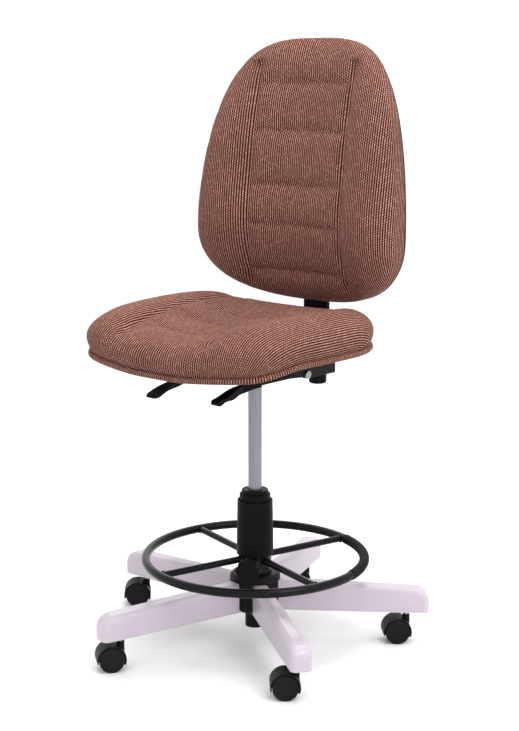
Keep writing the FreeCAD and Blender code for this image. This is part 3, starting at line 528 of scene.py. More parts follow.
@dataclass(frozen=True)
class TweedFinish:
    """Ribbed two-colour upholstery cloth that follows the cloth's own map."""

    ground: tuple[float, float, float]
    yarn: tuple[float, float, float]
    fleck: tuple[float, float, float]
    rib_pitch: float
    stitch_pitch: float
    relief: float = 0.0007

    def build(self, name: str, effects: EffectGroups) -> bpy.types.Material:
        """Builds the material.

        Args:
            name: the material's name.
            effects: the shared effects.

        Returns:
            The finished material.
        """
        made = Material(name)
        bench = made.bench
        cloth = bench.node("UVMap", uv_map=CLOTH_MAP).outputs["UV"]
        weave = made.group(effects.ribbed_tweed, cloth, Rib_Pitch=self.rib_pitch,
                           Stitch_Pitch=self.stitch_pitch)
        flecked = bench.mix(bench.spread(weave.outputs["Fleck"], 0.62, 0.95),
                            (*self.yarn, 1), (*self.fleck, 1))
        tone = bench.mix(weave.outputs["Pale"], (*self.ground, 1), flecked)
        patches = bench.noise(made.place, 7.0, 3.0, 0.55)
        aged = bench.mix(bench.spread(patches, 0.35, 0.75, 0.0, 0.16), tone,
                         (*self.ground, 1))
        made.feed("Base Color", bench.mix(bench.math(
            "MULTIPLY", weave.outputs["Fuzz"], 0.05), aged, (*self.fleck, 1)))
        made.feed("Roughness", bench.spread(weave.outputs["Fuzz"], 0.2, 0.8, 0.82, 0.97))
        made.feed("Normal", bench.bump(weave.outputs["Height"], self.relief, 0.9))
        made.set(Sheen_Weight=0.04, Sheen_Roughness=0.45, Sheen_Tint=(0.95, 0.55, 0.45, 1),
                 Specular_IOR_Level=0.08)
        return made.data


FINISHES = {
    Slot.FABRIC: TweedFinish((0.0030, 0.0008, 0.0005), (0.50, 0.222, 0.168),
                             (0.60, 0.30, 0.235), 0.0050, 0.0052),
    Slot.WHITE_PAINT: EnamelFinish((0.48, 0.425, 0.485), (0.455, 0.40, 0.46),
                                   (0.34, 0.30, 0.34), (0.30, 0.5), 0.25),
    Slot.GLOSS_BLACK: EnamelFinish((0.004, 0.0037, 0.0043), (0.007, 0.0066, 0.0075),
                                   (0.03, 0.028, 0.03), (0.2, 0.4), 0.04, dust=0.01,
                                   specular=0.1),
    Slot.BLACK_PAINT: EnamelFinish((0.006, 0.0056, 0.0063), (0.009, 0.0085, 0.0095),
                                   (0.03, 0.03, 0.032), (0.34, 0.55), 0.02, dust=0.02,
                                   specular=0.08),
    Slot.BLACK_CASTING: EnamelFinish((0.006, 0.0055, 0.0063), (0.010, 0.0095, 0.0105),
                                     (0.03, 0.028, 0.03), (0.38, 0.6), 0.02, 0.0001,
                                     dust=0.02, specular=0.08),
    Slot.BLACK_PLASTIC: MouldedFinish((0.0045, 0.0040, 0.0047), (0.011, 0.0105, 0.0115), 0.42,
                                      0.00006),
    Slot.BLACK_GRIP: MouldedFinish((0.007, 0.0064, 0.0073), (0.016, 0.0155, 0.0165), 0.62,
                                   0.0001, 800.0),
    Slot.CASTER_PLASTIC: MouldedFinish((0.008, 0.0072, 0.0083), (0.018, 0.017, 0.019), 0.36,
                                       0.00005),
    Slot.WHEEL_PLASTIC: MouldedFinish((0.0105, 0.0088, 0.011), (0.022, 0.020, 0.0225), 0.44,
                                      0.00005),
    Slot.CYLINDER_STEEL: SteelFinish((0.27, 0.25, 0.29), (0.21, 0.195, 0.23), 0.30, 0.85),
    Slot.BRIGHT_STEEL: SteelFinish((0.36, 0.36, 0.37), (0.28, 0.28, 0.29), 0.3),
    Slot.PLYWOOD: PlywoodFinish((0.60, 0.42, 0.26), (0.42, 0.27, 0.15)),
    Slot.NYLON: MouldedFinish((0.66, 0.63, 0.56), (0.72, 0.70, 0.64), 0.4, 0.00003),
}


class Palette:
    """Every finish of the object, built once."""

    def __init__(self) -> None:
        """Builds the shared effects and then each material."""
        effects = EffectGroups()
        self.materials = {slot: finish.build(slot.value + "_finish", effects)
                          for slot, finish in FINISHES.items()}

    def dress(self, piece: bpy.types.Object, slot: Slot) -> None:
        """Gives a new piece its finish as its only material."""
        piece.data.materials.clear()
        piece.data.materials.append(self.materials[slot])

    def dress_node(self, node: str, slot: Slot) -> None:
        """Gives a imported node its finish, in the slot that its mesh already has."""
        piece = NODES[node]
        if not piece.material_slots:
            piece.data.materials.append(None)
        for place in piece.material_slots:
            place.material = self.materials[slot]


# --- Mesh helpers ---------------------------------------------------------------------


def finish_mesh(name: str, shape: bmesh.types.BMesh, smooth: bool = True) -> bpy.types.Object:
    """Turns a bmesh into an object at the origin.

    Args:
        name: the object's name.
        shape: the mesh, which is freed.
        smooth: whether its faces are shaded smooth.

    Returns:
        The new object, linked to the scene.
    """
    bmesh.ops.recalc_face_normals(shape, faces=shape.faces)
    for face in shape.faces:
        face.smooth = smooth
    data = bpy.data.meshes.new(name)
    shape.to_mesh(data)
    shape.free()
    piece = bpy.data.objects.new(name, data)
    bpy.context.scene.collection.objects.link(piece)
    return piece


def evaluated_copy(piece: bpy.types.Object) -> bpy.types.Mesh:
    """The piece's mesh with its modifiers applied."""
    graph = bpy.context.evaluated_depsgraph_get()
    return bpy.data.meshes.new_from_object(piece.evaluated_get(graph),
                                           preserve_all_data_layers=True, depsgraph=graph)


def apply_subdivision(piece: bpy.types.Object, levels: int) -> None:
    """Subdivides a piece smoothly and keeps the result as its mesh."""
    modifier = piece.modifiers.new("smooth", "SUBSURF")
    modifier.levels = levels
    modifier.render_levels = levels
    bpy.context.view_layer.update()
    finished = evaluated_copy(piece)
    piece.modifiers.remove(modifier)
    piece.data = finished


def close_underside(piece: bpy.types.Object) -> None:
    """Closes the open edge that lies hidden on the board, with one face."""
    shape = bmesh.new()
    shape.from_mesh(piece.data)
    cloth = shape.loops.layers.uv[CLOTH_MAP]
    border = [edge for edge in shape.edges if edge.is_boundary]
    flat = {loop.vert: loop[cloth].uv.copy() for edge in border
            for face in edge.link_faces for loop in face.loops}
    for face in bmesh.ops.edgeloop_fill(shape, edges=border)["faces"]:
        face.smooth = False
        for loop in face.loops:
            loop[cloth].uv = flat[loop.vert]
    bmesh.ops.recalc_face_normals(shape, faces=shape.faces)
    shape.to_mesh(piece.data)
    shape.free()


def smoothstep(low: float, high: float, value: float) -> float:
    """Rises smoothly from 0 at low to 1 at high."""
    share = min(max((value - low) / (high - low), 0.0), 1.0)
    return share * share * (3 - 2 * share)


def tube_along(
    name: str, centres: list[Vector], radius: float, sides: int
) -> bpy.types.Object:
    """A closed round tube along a loop of points, with the cloth's map wound along it.

    Args:
        name: the object's name.
        centres: the loop's points.
        radius: the tube's radius.
        sides: faces around it.

    Returns:
        The tube as an object.
    """
    shape = bmesh.new()
    cloth = shape.loops.layers.uv.new(CLOTH_MAP)
    count = len(centres)
    station = [0.0]
    for index in range(1, count + 1):
        station.append(station[-1] + (centres[index % count] - centres[index - 1]).length)
    place, loops = {}, []
    for index, centre in enumerate(centres):
        forward = (centres[(index + 1) % count] - centres[index - 1]).normalized()
        side = forward.cross(Vector((0, 0, 1))).normalized()
        turned = Matrix((side, side.cross(forward) * -1, forward)).transposed().to_4x4()
        ring = bmesh.ops.create_circle(shape, segments=sides, radius=radius,
                                       matrix=Matrix.Translation(centre) @ turned)["verts"]
        place.update({vertex: (index, step) for step, vertex in enumerate(ring)})
        touching = (edge for vertex in ring for edge in vertex.link_edges)
        loops.append(list(dict.fromkeys(touching)))
    for index in range(count):
        bmesh.ops.bridge_loops(shape, edges=loops[index] + loops[(index + 1) % count])
    girth = 2 * math.pi * radius
    for face in shape.faces:
        rows = [place[loop.vert] for loop in face.loops]
        crosses_end = max(row for row, _ in rows) - min(row for row, _ in rows) > 1
        crosses_seam = max(step for _, step in rows) - min(step for _, step in rows) > 1
        for loop, (row, step) in zip(face.loops, rows):
            along = station[count] if crosses_end and row == 0 else station[row]
            around = sides if crosses_seam and step == 0 else step
            loop[cloth].uv = (along, around / sides * girth)
    return finish_mesh(name, shape)


# --- Cloth simulation -----------------------------------------------------------------


@dataclass
class ClothPuff:
    """Puffs padded covers by air pressure, held along their seams."""

    pressure: float = 4.0
    frames: int = 20
    stiffness: float = 12.0
    bending: float = 0.6
    jobs: list[tuple[bpy.types.Object, list[Vector], float]] = field(default_factory=list)

    def add(self, piece: bpy.types.Object, held: dict[int, float], cap: float) -> None:
        """Prepares one cover.

        Args:
            piece: the cover.
            held: how firmly each vertex is held, from 0 to 1.
            cap: the furthest that a point may move.
        """
        group = piece.vertex_groups.new(name="held")
        for index, weight in held.items():
            group.add([index], weight, "REPLACE")
        cloth = piece.modifiers.new("puff", "CLOTH")
        settings = cloth.settings
        settings.quality = 5
        settings.mass = 0.35
        settings.tension_stiffness = self.stiffness
        settings.compression_stiffness = self.stiffness
        settings.shear_stiffness = self.stiffness / 2
        settings.bending_stiffness = self.bending
        settings.use_pressure = True
        settings.uniform_pressure_force = self.pressure
        settings.vertex_group_mass = group.name
        settings.effector_weights.gravity = 0.0
        cloth.point_cache.frame_start = 1
        cloth.point_cache.frame_end = self.frames
        rest = [vertex.co.copy() for vertex in piece.data.vertices]
        self.jobs.append((piece, rest, cap))

    def run(self) -> None:
        """Steps the simulation once and keeps the covers' new shapes in their meshes."""
        scene = bpy.context.scene
        for number in range(1, self.frames + 1):
            scene.frame_set(number)
        for piece, rest, cap in self.jobs:
            moved = [vertex.co.copy() for vertex in evaluated_copy(piece).vertices]
            piece.modifiers.remove(piece.modifiers["puff"])
            largest = 0.0
            for vertex, before, after in zip(piece.data.vertices, rest, moved):
                step = after - before
                largest = max(largest, step.length)
                if step.length > cap:
                    step = step.normalized() * cap
                vertex.co = before + step
            piece.vertex_groups.clear()
            LOG.info("%s puffed by up to %.1f mm", piece.name, largest * 1000)
        scene.frame_set(1)


# --- Padded pieces --------------------------------------------------------------------


@dataclass
class Pad:
    """A crowned closed cover: a dished top, rounded walls and a tucked underside.

    Heights and plan places are worked out by the classes that inherit it. The mesh is a grid
    spread over the outline, whose border is drawn down in rings.
    """

    name: str
    cells: int = 60
    shoulder: float = 0.86
    wall_rows: int = 9
    seam_depth: float = 0.0075
    seam_width: float = 0.0065
    pucker: float = 0.0005
    hold: float = 0.95

    def reach(self, angle: float) -> float:
        """The outline's distance from the pad's centre in one direction."""
        raise NotImplementedError

    def top(self, share: float, angle: float) -> Vector:
        """A point of the padded face, at a share of the way out to the outline."""
        raise NotImplementedError

    def wall(self, row: int, angle: float) -> Vector:
        """A point of the walls or the underside, in the ring of that number."""
        raise NotImplementedError

    def rings(self) -> int:
        """How many rings the walls and the underside have."""
        raise NotImplementedError

    def outward(self, angle: float) -> tuple[float, float]:
        """The outline's outward direction, by comparing its places either side."""
        step = 0.01
        before = self.reach(angle - step)
        after = self.reach(angle + step)
        along = (after * math.cos(angle + step) - before * math.cos(angle - step),
                 after * math.sin(angle + step) - before * math.sin(angle - step))
        size = math.hypot(*along)
        return along[1] / size, -along[0] / size

    def build(self) -> bpy.types.Object:
        """Builds the cover with its cloth map.

        Returns:
            The cover as an object, before it is puffed and while its underside is open.
        """
        shape = bmesh.new()
        bmesh.ops.create_grid(shape, x_segments=self.cells, y_segments=self.cells, size=1.0)
        angles, flat = {}, {}
        for vertex in shape.verts:
            across, along = vertex.co.x, vertex.co.y
            share = max(abs(across), abs(along))
            angle = math.atan2(along, across)
            angles[vertex] = angle
            vertex.co = self.top(share, angle)
            spread = share * self.shoulder * self.reach(angle)
            flat[vertex] = (spread * math.cos(angle), spread * math.sin(angle))
        border = [edge for edge in shape.edges if edge.is_boundary]
        ring = {vertex for edge in border for vertex in edge.verts}
        for row in range(self.rings()):
            grown = bmesh.ops.extrude_edge_only(shape, edges=border)["geom"]
            fresh = [item for item in grown if isinstance(item, bmesh.types.BMVert)]
            for vertex in fresh:
                parent = next(edge.other_vert(vertex) for edge in vertex.link_edges
                              if edge.other_vert(vertex) in ring)
                angles[vertex] = angles[parent]
                vertex.co = self.wall(row, angles[vertex])
                drop = (vertex.co - parent.co).length
                out = self.outward(angles[vertex])
                flat[vertex] = (flat[parent][0] + out[0] * drop,
                                flat[parent][1] + out[1] * drop)
            ring = set(fresh)
            border = [item for item in grown if isinstance(item, bmesh.types.BMEdge)
                      and item.verts[0] in ring and item.verts[1] in ring]
        cloth = shape.loops.layers.uv.new(CLOTH_MAP)
        for face in shape.faces:
            for loop in face.loops:
                loop[cloth].uv = flat[loop.vert]
        return finish_mesh(self.name, shape)

    def seam_distance(self, point: Vector) -> float:
        """How far a point of the padded face is from the nearest seam."""
        raise NotImplementedError

    def is_padded(self, point: Vector) -> bool:
        """Whether a point is on the part of the cover that the air may lift."""
        raise NotImplementedError

    def held(self, piece: bpy.types.Object) -> dict[int, float]:
        """How firmly each vertex is held while the cover puffs.

        Args:
            piece: the cover.

        Returns:
            Vertex numbers with weights from 0 to 1.
        """
        weights = {}
        for vertex in piece.data.vertices:
            if not self.is_padded(vertex.co):
                weights[vertex.index] = 1.0
                continue
            near = 1 - smoothstep(0.0, 0.011, self.seam_distance(vertex.co))
            if near > 0.02:
                weights[vertex.index] = near * self.hold
        return weights

    def press_seams(self, piece: bpy.types.Object) -> None:
        """Sinks a groove along each seam, with small puckers beside it."""
        mesh = piece.data
        normals = [vertex.normal.copy() for vertex in mesh.vertices]
        for vertex, normal in zip(mesh.vertices, normals):
            gap = self.seam_distance(vertex.co)
            if gap > 0.04:
                continue
            groove = (0.5 * math.exp(-(gap / self.seam_width) ** 2)
                      + 0.5 * math.exp(-(gap / (3 * self.seam_width)) ** 2))
            beside = math.exp(-((gap - 0.012) / 0.008) ** 2)
            ripple = math.sin(vertex.co.x * 190 + 3 * math.sin(vertex.co.z * 60)) * math.sin(
                vertex.co.y * 170 + vertex.co.z * 120 + 1.3)
            vertex.co = vertex.co - normal * (self.seam_depth * groove
                                              - self.pucker * beside * ripple)


@dataclass
class SeatPad(Pad):
    """The seat: raised bolsters, a dished centre with three creases, and a falling front."""

    name: str = "seat_cover"
    half_w: float = 0.255
    front: float = 0.287
    rear: float = 0.178
    split_y: float = -0.020
    front_power: float = 4.4
    rear_power: float = 2.3
    rim_z: float = 0.605
    corner_rise: float = 0.012
    side_rise: float = 0.0195
    crown_z: float = 0.700
    bulge: float = 0.028
    dish: float = 0.024
    crease_ys: tuple[float, ...] = (-0.178, -0.088, 0.000)
    edge_power: float = 9.0
    crown_power: float = 2.6

    def reach(self, angle: float) -> float:
        """The outline's distance from the pad's centre in one direction."""
        behind = math.sin(angle) > 0
        power = self.rear_power if behind else self.front_power
        length = self.rear - self.split_y if behind else self.front + self.split_y
        return ((abs(math.cos(angle)) / self.half_w) ** power
                + (abs(math.sin(angle)) / length) ** power) ** (-1 / power)

    def plan(self, share: float, angle: float, height: float) -> Vector:
        """A point at a share of the way to the outline and at a height."""
        far = share * self.reach(angle)
        return Vector((far * math.cos(angle), self.split_y + far * math.sin(angle), height))

    def rim(self, x: float, y: float) -> float:
        """The height of the lower rim: lowest at the middle of the front."""
        return (self.rim_z + self.corner_rise * smoothstep(0.03, 0.21, abs(x))
                + self.side_rise * smoothstep(-0.275, -0.150, y))

    def seam_x(self, y: float) -> float:
        """How far out the crease between the centre and a bolster lies."""
        return 0.108 + 0.040 * smoothstep(-self.front, 0.05, y)

    def crown(self, x: float, y: float) -> float:
        """The height of the padded face before its edges are rounded."""
        seam = self.seam_x(y)
        bolster = smoothstep(seam - 0.01, seam + 0.06, abs(x))
        height = self.crown_z - 0.020 * smoothstep(-0.03, -0.27, y) * (1 - 0.75 * bolster)
        height -= 0.007 * smoothstep(0.06, 0.17, y)
        if abs(x) < seam:
            deep = self.dish * (1 - 0.5 * smoothstep(-0.12, -0.26, y)
                                - 0.35 * smoothstep(0.03, 0.15, y))
            return height - deep * math.cos(math.pi / 2 * abs(x) / seam) ** 0.8
        return height + 0.007 * math.sin(math.pi * min((abs(x) - seam) / 0.11, 1.0))

    def top(self, share: float, angle: float) -> Vector:
        """A point of the padded face, at a share of the way out to the outline."""
        place = self.plan(share * self.shoulder, angle, 0)
        lift = (1 - (share * self.shoulder) ** self.edge_power) ** (1 / self.crown_power)
        rim = self.rim(place.x, place.y)
        return Vector((place.x, place.y, rim + (self.crown(place.x, place.y) - rim) * lift))

    def rings(self) -> int:
        """How many rings the walls and the underside have."""
        return self.wall_rows + 4

    def wall(self, row: int, angle: float) -> Vector:
        """A point of the walls or the underside, in the ring of that number."""
        begin = (1 - self.shoulder ** self.edge_power) ** (1 / self.crown_power)
        edge = self.plan(1.0, angle, 0)
        rim = self.rim(edge.x, edge.y)
        if row < self.wall_rows:
            lift = begin * (1 - (row + 1) / self.wall_rows)
            share = (1 - lift ** self.crown_power) ** (1 / self.edge_power)
            bulge = self.bulge * math.sin(math.pi * min(lift / begin, 1.0)) - 0.012 * (
                1 - lift / begin) ** 2
            place = self.plan(share + bulge, angle, 0)
            top = self.crown(place.x, place.y)
            return Vector((place.x, place.y, rim + (top - rim) * lift))
        tuck = ((0.975, rim - 0.006), (0.955, rim - 0.011), (0.935, rim - 0.010),
                (0.900, rim - 0.001))
        share, height = tuck[row - self.wall_rows]
        return self.plan(share, angle, height)

    def seam_distance(self, point: Vector) -> float:
        """How far a point of the padded face is from the nearest crease."""
        if point.z < self.rim(point.x, point.y) + 0.035:
            return 1.0
        inside = self.seam_x(point.y) - abs(point.x)
        front_end, rear_end = -self.front + 0.028, self.rear - 0.020
        beyond = max(front_end - point.y, point.y - rear_end, 0.0)
        nearest = math.hypot(inside, beyond)
        if inside > -0.004:
            bow = 0.010 * math.cos(math.pi / 2 * min(abs(point.x) / self.seam_x(point.y), 1))
            for y in self.crease_ys:
                nearest = min(nearest, abs(point.y - y + bow) + 0.002)
        return nearest

    def is_padded(self, point: Vector) -> bool:
        """Whether a point is on the part of the cover that the air may lift."""
        return point.z > self.rim(point.x, point.y) + 0.006

    def lip_line(self, count: int = 200) -> list[Vector]:
        """The loop that the covered lip follows round the seat."""
        line = [self.plan(0.988, math.tau * index / count, 0) for index in range(count)]
        return [Vector((place.x, place.y, self.rim(place.x, place.y) - 0.008))
                for place in line]


@dataclass
class BackPad(Pad):
    """The backrest's front: wrapped round the sitter, with a lumbar swell and creases."""

    name: str = "back_cover"
    half_w: float = 0.256
    bottom_z: float = 0.688
    height: float = 0.532
    widest: float = 0.142
    centre_up: float = 0.245
    top_powers: tuple[float, float] = (3.4, 2.0)
    low_powers: tuple[float, float] = (2.6, 2.3)
    curve_r: float = 0.620
    rear_y: float = 0.214
    shell_depth: float = 0.0285
    edge_depth: float = 0.011
    depth: float = 0.083
    lumbar: float = 0.014
    lean: float = math.radians(1.0)
    lean_y: float = 0.196
    lean_z: float = 0.677
    crease_zs: tuple[float, ...] = (0.749, 0.845, 0.927, 1.037, 1.133)
    edge_power: float = 5.0
    crown_power: float = 2.2

    def outside(self, x: float, z: float) -> float:
        """Above 1 outside the outline, and below 1 inside it."""
        rise = z - self.bottom_z - self.widest
        powers = self.top_powers if rise > 0 else self.low_powers
        length = self.height - self.widest if rise > 0 else self.widest
        return (abs(x) / self.half_w) ** powers[0] + (abs(rise) / length) ** powers[1]

    def reach(self, angle: float) -> float:
        """The outline's distance from the pad's centre in one direction."""
        low, high = 0.0, 0.6
        for _ in range(24):
            middle = (low + high) / 2
            x = middle * math.cos(angle)
            z = self.bottom_z + self.centre_up + middle * math.sin(angle)
            if self.outside(x, z) > 1:
                high = middle
            else:
                low = middle
        return low

    def wrapped(self, x: float, z: float, depth: float) -> Vector:
        """A point at a depth in front of the rear shell, leaned with the bar."""
        radius = self.curve_r - depth
        centre = self.rear_y - self.curve_r
        y = centre + math.sqrt(max(radius * radius - x * x, 0.0))
        rise, run = z - self.lean_z, y - self.lean_y
        return Vector((x, self.lean_y + run * math.cos(self.lean) + rise * math.sin(self.lean),
                       self.lean_z + rise * math.cos(self.lean) - run * math.sin(self.lean)))

    def place(self, share: float, angle: float, depth: float) -> Vector:
        """A point at a share of the way to the outline, at a depth."""
        far = share * self.reach(angle)
        return self.wrapped(far * math.cos(angle),
                            self.bottom_z + self.centre_up + far * math.sin(angle), depth)

    def seam_x(self, z: float) -> float:
        """How far out the crease between the centre and a side bolster lies."""
        up = (z - self.bottom_z) / self.height
        flare_below = 0.010 * (1 - smoothstep(0.0, 0.3, up))
        flare_above = 0.003 * smoothstep(0.7, 1.0, up)
        return 0.119 + flare_below + flare_above

    def padding(self, x: float, z: float) -> float:
        """The depth of the padded face before its edges are rounded."""
        up = z - self.bottom_z
        swell = self.lumbar * math.exp(-((up - 0.165) / 0.11) ** 2)
        thin = 0.018 * smoothstep(0.30, 0.50, up)
        seam = self.seam_x(z)
        deep = self.depth + swell - thin
        if abs(x) < seam:
            return deep - 0.004 * math.cos(math.pi / 2 * abs(x) / seam)
        return deep + 0.009 * math.sin(math.pi * min((abs(x) - seam) / 0.125, 1.0))

    def top(self, share: float, angle: float) -> Vector:
        """A point of the padded face, at a share of the way out to the outline."""
        far = share * self.shoulder * self.reach(angle)
        x = far * math.cos(angle)
        z = self.bottom_z + self.centre_up + far * math.sin(angle)
        lift = (1 - (share * self.shoulder) ** self.edge_power) ** (1 / self.crown_power)
        deep = self.shell_depth + (self.padding(x, z) - self.shell_depth) * lift
        return self.wrapped(x, z, deep)

    def rings(self) -> int:
        """How many rings the walls and the underside have."""
        return self.wall_rows + 5

    def wall(self, row: int, angle: float) -> Vector:
        """A point of the walls or the rear, in the ring of that number."""
        begin = (1 - self.shoulder ** self.edge_power) ** (1 / self.crown_power)
        if row < self.wall_rows:
            lift = begin * (1 - (row + 1) / self.wall_rows)
            share = (1 - lift ** self.crown_power) ** (1 / self.edge_power)
            swell = 0.010 * math.sin(math.pi * lift / begin)
            far = share * self.reach(angle)
            x = far * math.cos(angle)
            z = self.bottom_z + self.centre_up + far * math.sin(angle)
            deep = self.shell_depth + (self.padding(x, z) - self.shell_depth) * lift
            return self.place(share + swell, angle, deep)
        tuck = ((0.999, self.edge_depth + 0.008), (0.996, self.edge_depth),
                (0.984, self.edge_depth - 0.001), (0.970, self.edge_depth + 0.002),
                (0.950, self.shell_depth))
        share, deep = tuck[row - self.wall_rows]
        return self.place(share, angle, deep)

    def seam_distance(self, point: Vector) -> float:
        """How far a point of the padded face is from the nearest crease."""
        level = point.y < self.rear_y - 0.045 - 0.9 * point.x ** 2 * 0.9
        if not level:
            return 1.0
        inside = self.seam_x(point.z) - abs(point.x)
        low_end, high_end = self.bottom_z + 0.035, self.bottom_z + self.height - 0.030
        beyond = max(low_end - point.z, point.z - high_end, 0.0)
        nearest = math.hypot(inside, beyond)
        if inside > -0.003:
            for z in self.crease_zs:
                nearest = min(nearest, abs(point.z - z) + 0.002)
        return nearest

    def is_padded(self, point: Vector) -> bool:
        """Whether a point is on the part of the cover that the air may lift."""
        return (point - self.wrapped(point.x, point.z, self.shell_depth)).length > 0.008


# --- Sub-assemblies -------------------------------------------------------------------


@dataclass
class Upholstery:
    """The covers of the seat and the backrest, and the seat's covered lip."""

    palette: Palette
    seat: SeatPad = field(default_factory=SeatPad)
    back: BackPad = field(default_factory=BackPad)
    seat_cap: float = 0.007
    back_cap: float = 0.007
    lip_radius: float = 0.0056

    def build(self) -> None:
        """Builds both covers, puffs them together, then presses in the seams."""
        seat = self.seat.build()
        back = self.back.build()
        puff = ClothPuff()
        puff.add(seat, self.seat.held(seat), self.seat_cap)
        puff.add(back, self.back.held(back), self.back_cap)
        puff.run()
        for pad, piece, body, node in ((self.seat, seat, "seat_unit", "seat_cushion"),
                                       (self.back, back, "backrest", "back_cushion")):
            apply_subdivision(piece, 1)
            pad.press_seams(piece)
            close_underside(piece)
            self.palette.dress(piece, Slot.FABRIC)
            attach(piece, body)
            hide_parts(node)
            LOG.info("%s has %d faces", piece.name, len(piece.data.polygons))
        self.build_lip()
        SeatPan(self.palette, self.seat).build()

    def build_lip(self) -> None:
        """Builds the cloth-covered lip round the seat's lower edge."""
        lip = tube_along("seat_lip", self.seat.lip_line(), self.lip_radius, 12)
        self.palette.dress(lip, Slot.FABRIC)
        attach(lip, "seat_unit")


@dataclass
class SeatPan:
    """The moulded tray under the seat and the board in it, curved up to meet the lip."""

    palette: Palette
    pad: SeatPad
    middle_z: float = 0.5903
    flat_share: float = 0.45
    edge_drop: float = 0.0125
    cells: int = 40

    def build(self) -> None:
        """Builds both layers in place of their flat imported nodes."""
        for name, node, slot, edge, lift, thick in (
                ("seat_tray", "seat_base_cover", Slot.BLACK_PLASTIC, 0.965, 0.0, 0.003),
                ("seat_ply", "seat_board", Slot.PLYWOOD, 0.935, 0.0032, 0.010)):
            layer = self.layer(name, edge, lift, thick)
            self.palette.dress(layer, slot)
            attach(layer, "seat_unit")
            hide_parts(node)

    def height(self, share: float, angle: float) -> float:
        """The tray's underside at a share of the way to the outline."""
        edge = self.pad.plan(0.96, angle, 0)
        rise = self.pad.rim(edge.x, edge.y) - self.edge_drop - self.middle_z
        ramp = max(share - self.flat_share, 0.0) / (0.96 - self.flat_share)
        return self.middle_z + rise * ramp

    def layer(self, name: str, edge: float, lift: float, thick: float) -> bpy.types.Object:
        """One curved layer.

        Args:
            name: the layer's name.
            edge: its outline as a share of the seat's.
            lift: how far its underside is above the tray's.
            thick: its thickness.

        Returns:
            The closed layer.
        """
        shape = bmesh.new()
        bmesh.ops.create_grid(shape, x_segments=self.cells, y_segments=self.cells, size=1.0)
        for vertex in shape.verts:
            across, along = vertex.co.x, vertex.co.y
            share = edge * max(abs(across), abs(along))
            angle = math.atan2(along, across)
            vertex.co = self.pad.plan(share, angle, self.height(share, angle) + lift)
        everything = shape.verts[:] + shape.edges[:] + shape.faces[:]
        upper = bmesh.ops.duplicate(shape, geom=everything)
        for item in upper["geom"]:
            if isinstance(item, bmesh.types.BMVert):
                item.co.z += thick
        bmesh.ops.bridge_loops(shape, edges=[item for item in shape.edges if item.is_boundary])
        return finish_mesh(name, shape)


@dataclass
class MechanismHousing:
    """The mechanism's pressed box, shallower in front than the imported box, as in the photo."""

    palette: Palette
    node: str = "mechanism_box"
    low_z: float = 0.540
    top_z: float = 0.590
    front_y: float = -0.115
    rear_y: float = 0.110
    front_lift: float = 0.0225
    rear_lift: float = 0.0035

    def build(self) -> None:
        """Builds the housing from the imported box, with its floor tilted up in front."""
        packed = NODES[self.node]
        shape = bmesh.new()
        shape.from_mesh(packed.data)
        bmesh.ops.transform(shape, matrix=packed.matrix_world, verts=shape.verts)
        for vertex in shape.verts:
            back = (vertex.co.y - self.front_y) / (self.rear_y - self.front_y)
            lift = self.front_lift + (self.rear_lift - self.front_lift) * back
            share = (self.top_z - vertex.co.z) / (self.top_z - self.low_z)
            vertex.co.z += lift * share
        housing = finish_mesh("mechanism_housing", shape, smooth=False)
        self.palette.dress(housing, Slot.BLACK_PAINT)
        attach(housing, "seat_unit")
        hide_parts(self.node)


@dataclass
class WeldBeads:
    """The weld beads where the foot ring's spokes meet its hub and its tube."""

    palette: Palette
    spoke_angles: tuple[float, ...] = (344.0, 74.0, 164.0, 254.0)
    spoke_z: float = 0.175
    spoke_r: float = 0.0072
    hub_r: float = 0.0345
    ring_r: float = 0.2158
    bead_r: float = 0.0019

    def build(self) -> None:
        """Builds one bead at each end of each spoke."""
        for number, angle in enumerate(self.spoke_angles, 1):
            outward = Vector((math.cos(math.radians(angle)), math.sin(math.radians(angle)), 0))
            for end, far in (("inner", self.hub_r), ("outer", self.ring_r)):
                bead = self.bead(f"weld_{end}_{number}", outward * far + Vector(
                    (0, 0, self.spoke_z)), outward)
                self.palette.dress(bead, Slot.GLOSS_BLACK)
                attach(bead, "foot_ring")

    def bead(self, name: str, centre: Vector, axis: Vector) -> bpy.types.Object:
        """One rippled bead round a spoke.

        Args:
            name: the bead's name.
            centre: its centre.
            axis: the spoke's direction.

        Returns:
            The bead.
        """
        shape = bmesh.new()
        side = axis.cross(Vector((0, 0, 1))).normalized()
        upright = Matrix((side, axis, side.cross(axis))).transposed().to_4x4()
        section = bmesh.ops.create_circle(shape, segments=8, radius=self.bead_r)
        turn = Matrix.Translation(centre) @ upright @ Matrix.Translation(
            (self.spoke_r, 0, 0))
        bmesh.ops.transform(shape, matrix=turn, verts=section["verts"])
        bmesh.ops.spin(shape, geom=shape.verts[:] + shape.edges[:], cent=centre, axis=axis,
                       steps=40, angle=math.tau, use_merge=True, use_duplicate=False)
        for vertex in shape.verts:
            arm = vertex.co - centre
            around = math.atan2(arm.z, arm.dot(side))
            vertex.co += arm.normalized() * 0.00035 * math.sin(around * 14)
        return finish_mesh(name, shape)


@dataclass
class PackedParts:
    """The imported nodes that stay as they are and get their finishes."""

    palette: Palette

    def build(self) -> None:
        """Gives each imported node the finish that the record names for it."""
        slots = {entry["node"]: Slot(entry["material_slot"])
                 for entry in frame["record"]["subparts"]}
        for node in NODES:
            self.palette.dress_node(node, slots[node])
        LOG.info("%d packed nodes dressed", len(slots))


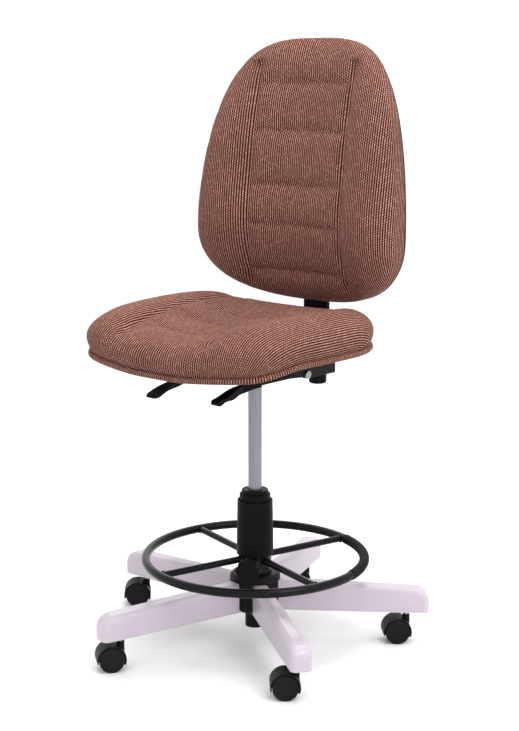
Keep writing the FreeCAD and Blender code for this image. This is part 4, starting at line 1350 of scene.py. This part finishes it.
@dataclass
class Studio:
    """The plain floor, the soft lights and the camera."""

    azimuth: float = math.radians(41.0)
    pitch: float = math.radians(11.2)
    eye: tuple[float, float, float] = (1.915, -2.189, 1.151)
    lens: float = 72.75
    floor_size: float = 30.0
    exposure: float = 0.32
    lamps: tuple[tuple[str, tuple[float, float, float], float, float], ...] = (
        ("overhead", (0.2, 0.1, 2.6), 1.8, 30.0),
        ("key", (2.4, -0.5, 1.9), 1.2, 20.0),
        ("rear", (-1.6, 1.6, 2.0), 1.6, 12.0),
    )

    def build(self) -> None:
        """Builds the floor, the lamps, the room's light and the camera."""
        self.build_floor()
        for name, place, size, power in self.lamps:
            self.build_lamp(name, Vector(place), size, power)
        self.build_room()
        self.build_camera()

    def build_floor(self) -> None:
        """Builds the pale floor."""
        shape = bmesh.new()
        bmesh.ops.create_grid(shape, x_segments=1, y_segments=1, size=self.floor_size / 2)
        floor = finish_mesh("studio_floor", shape, smooth=False)
        made = Material("studio_floor_finish")
        speckle = made.bench.noise(made.place, 3.0, 2.0, 0.5)
        made.feed("Base Color", made.bench.mix(speckle, (0.82, 0.82, 0.82, 1),
                                               (0.85, 0.85, 0.85, 1)))
        made.set(Roughness=0.8, Specular_IOR_Level=0.1)
        floor.data.materials.append(made.data)

    def build_lamp(self, name: str, place: Vector, size: float, power: float) -> None:
        """Builds one square softbox that points at the stool's middle."""
        data = bpy.data.lights.new(name, "AREA")
        data.size = size
        data.energy = power
        lamp = bpy.data.objects.new(name, data)
        lamp.location = place
        aim = Vector((0, 0, AIM_HEIGHT)) - place
        lamp.rotation_euler = aim.to_track_quat("-Z", "Y").to_euler()
        bpy.context.scene.collection.objects.link(lamp)

    def build_room(self) -> None:
        """Lights the room evenly and keeps its colours plain."""
        scene = bpy.context.scene
        world = bpy.data.worlds.new("room")
        world.use_nodes = True
        backdrop = world.node_tree.nodes["Background"]
        backdrop.inputs["Color"].default_value = (1.0, 1.0, 1.0, 1)
        backdrop.inputs["Strength"].default_value = 1.0
        scene.world = world
        scene.view_settings.view_transform = "Standard"
        scene.view_settings.exposure = self.exposure

    def build_camera(self) -> None:
        """Places the camera and makes it the scene's own."""
        data = bpy.data.cameras.new("camera")
        data.lens = self.lens
        data.sensor_width = SENSOR_WIDTH
        data.clip_end = FAR_CLIP
        camera = bpy.data.objects.new("camera", data)
        camera.location = self.eye
        camera.rotation_euler = (math.pi / 2 - self.pitch, 0, self.azimuth)
        bpy.context.scene.collection.objects.link(camera)
        bpy.context.scene.camera = camera


def main() -> None:
    """Builds the looks around the frame."""
    logging.basicConfig(level=logging.INFO, format="%(name)s: %(message)s")
    palette = Palette()
    PackedParts(palette).build()
    Upholstery(palette).build()
    MechanismHousing(palette).build()
    WeldBeads(palette).build()
    Studio().build()


if __name__ == "__main__":
    main()
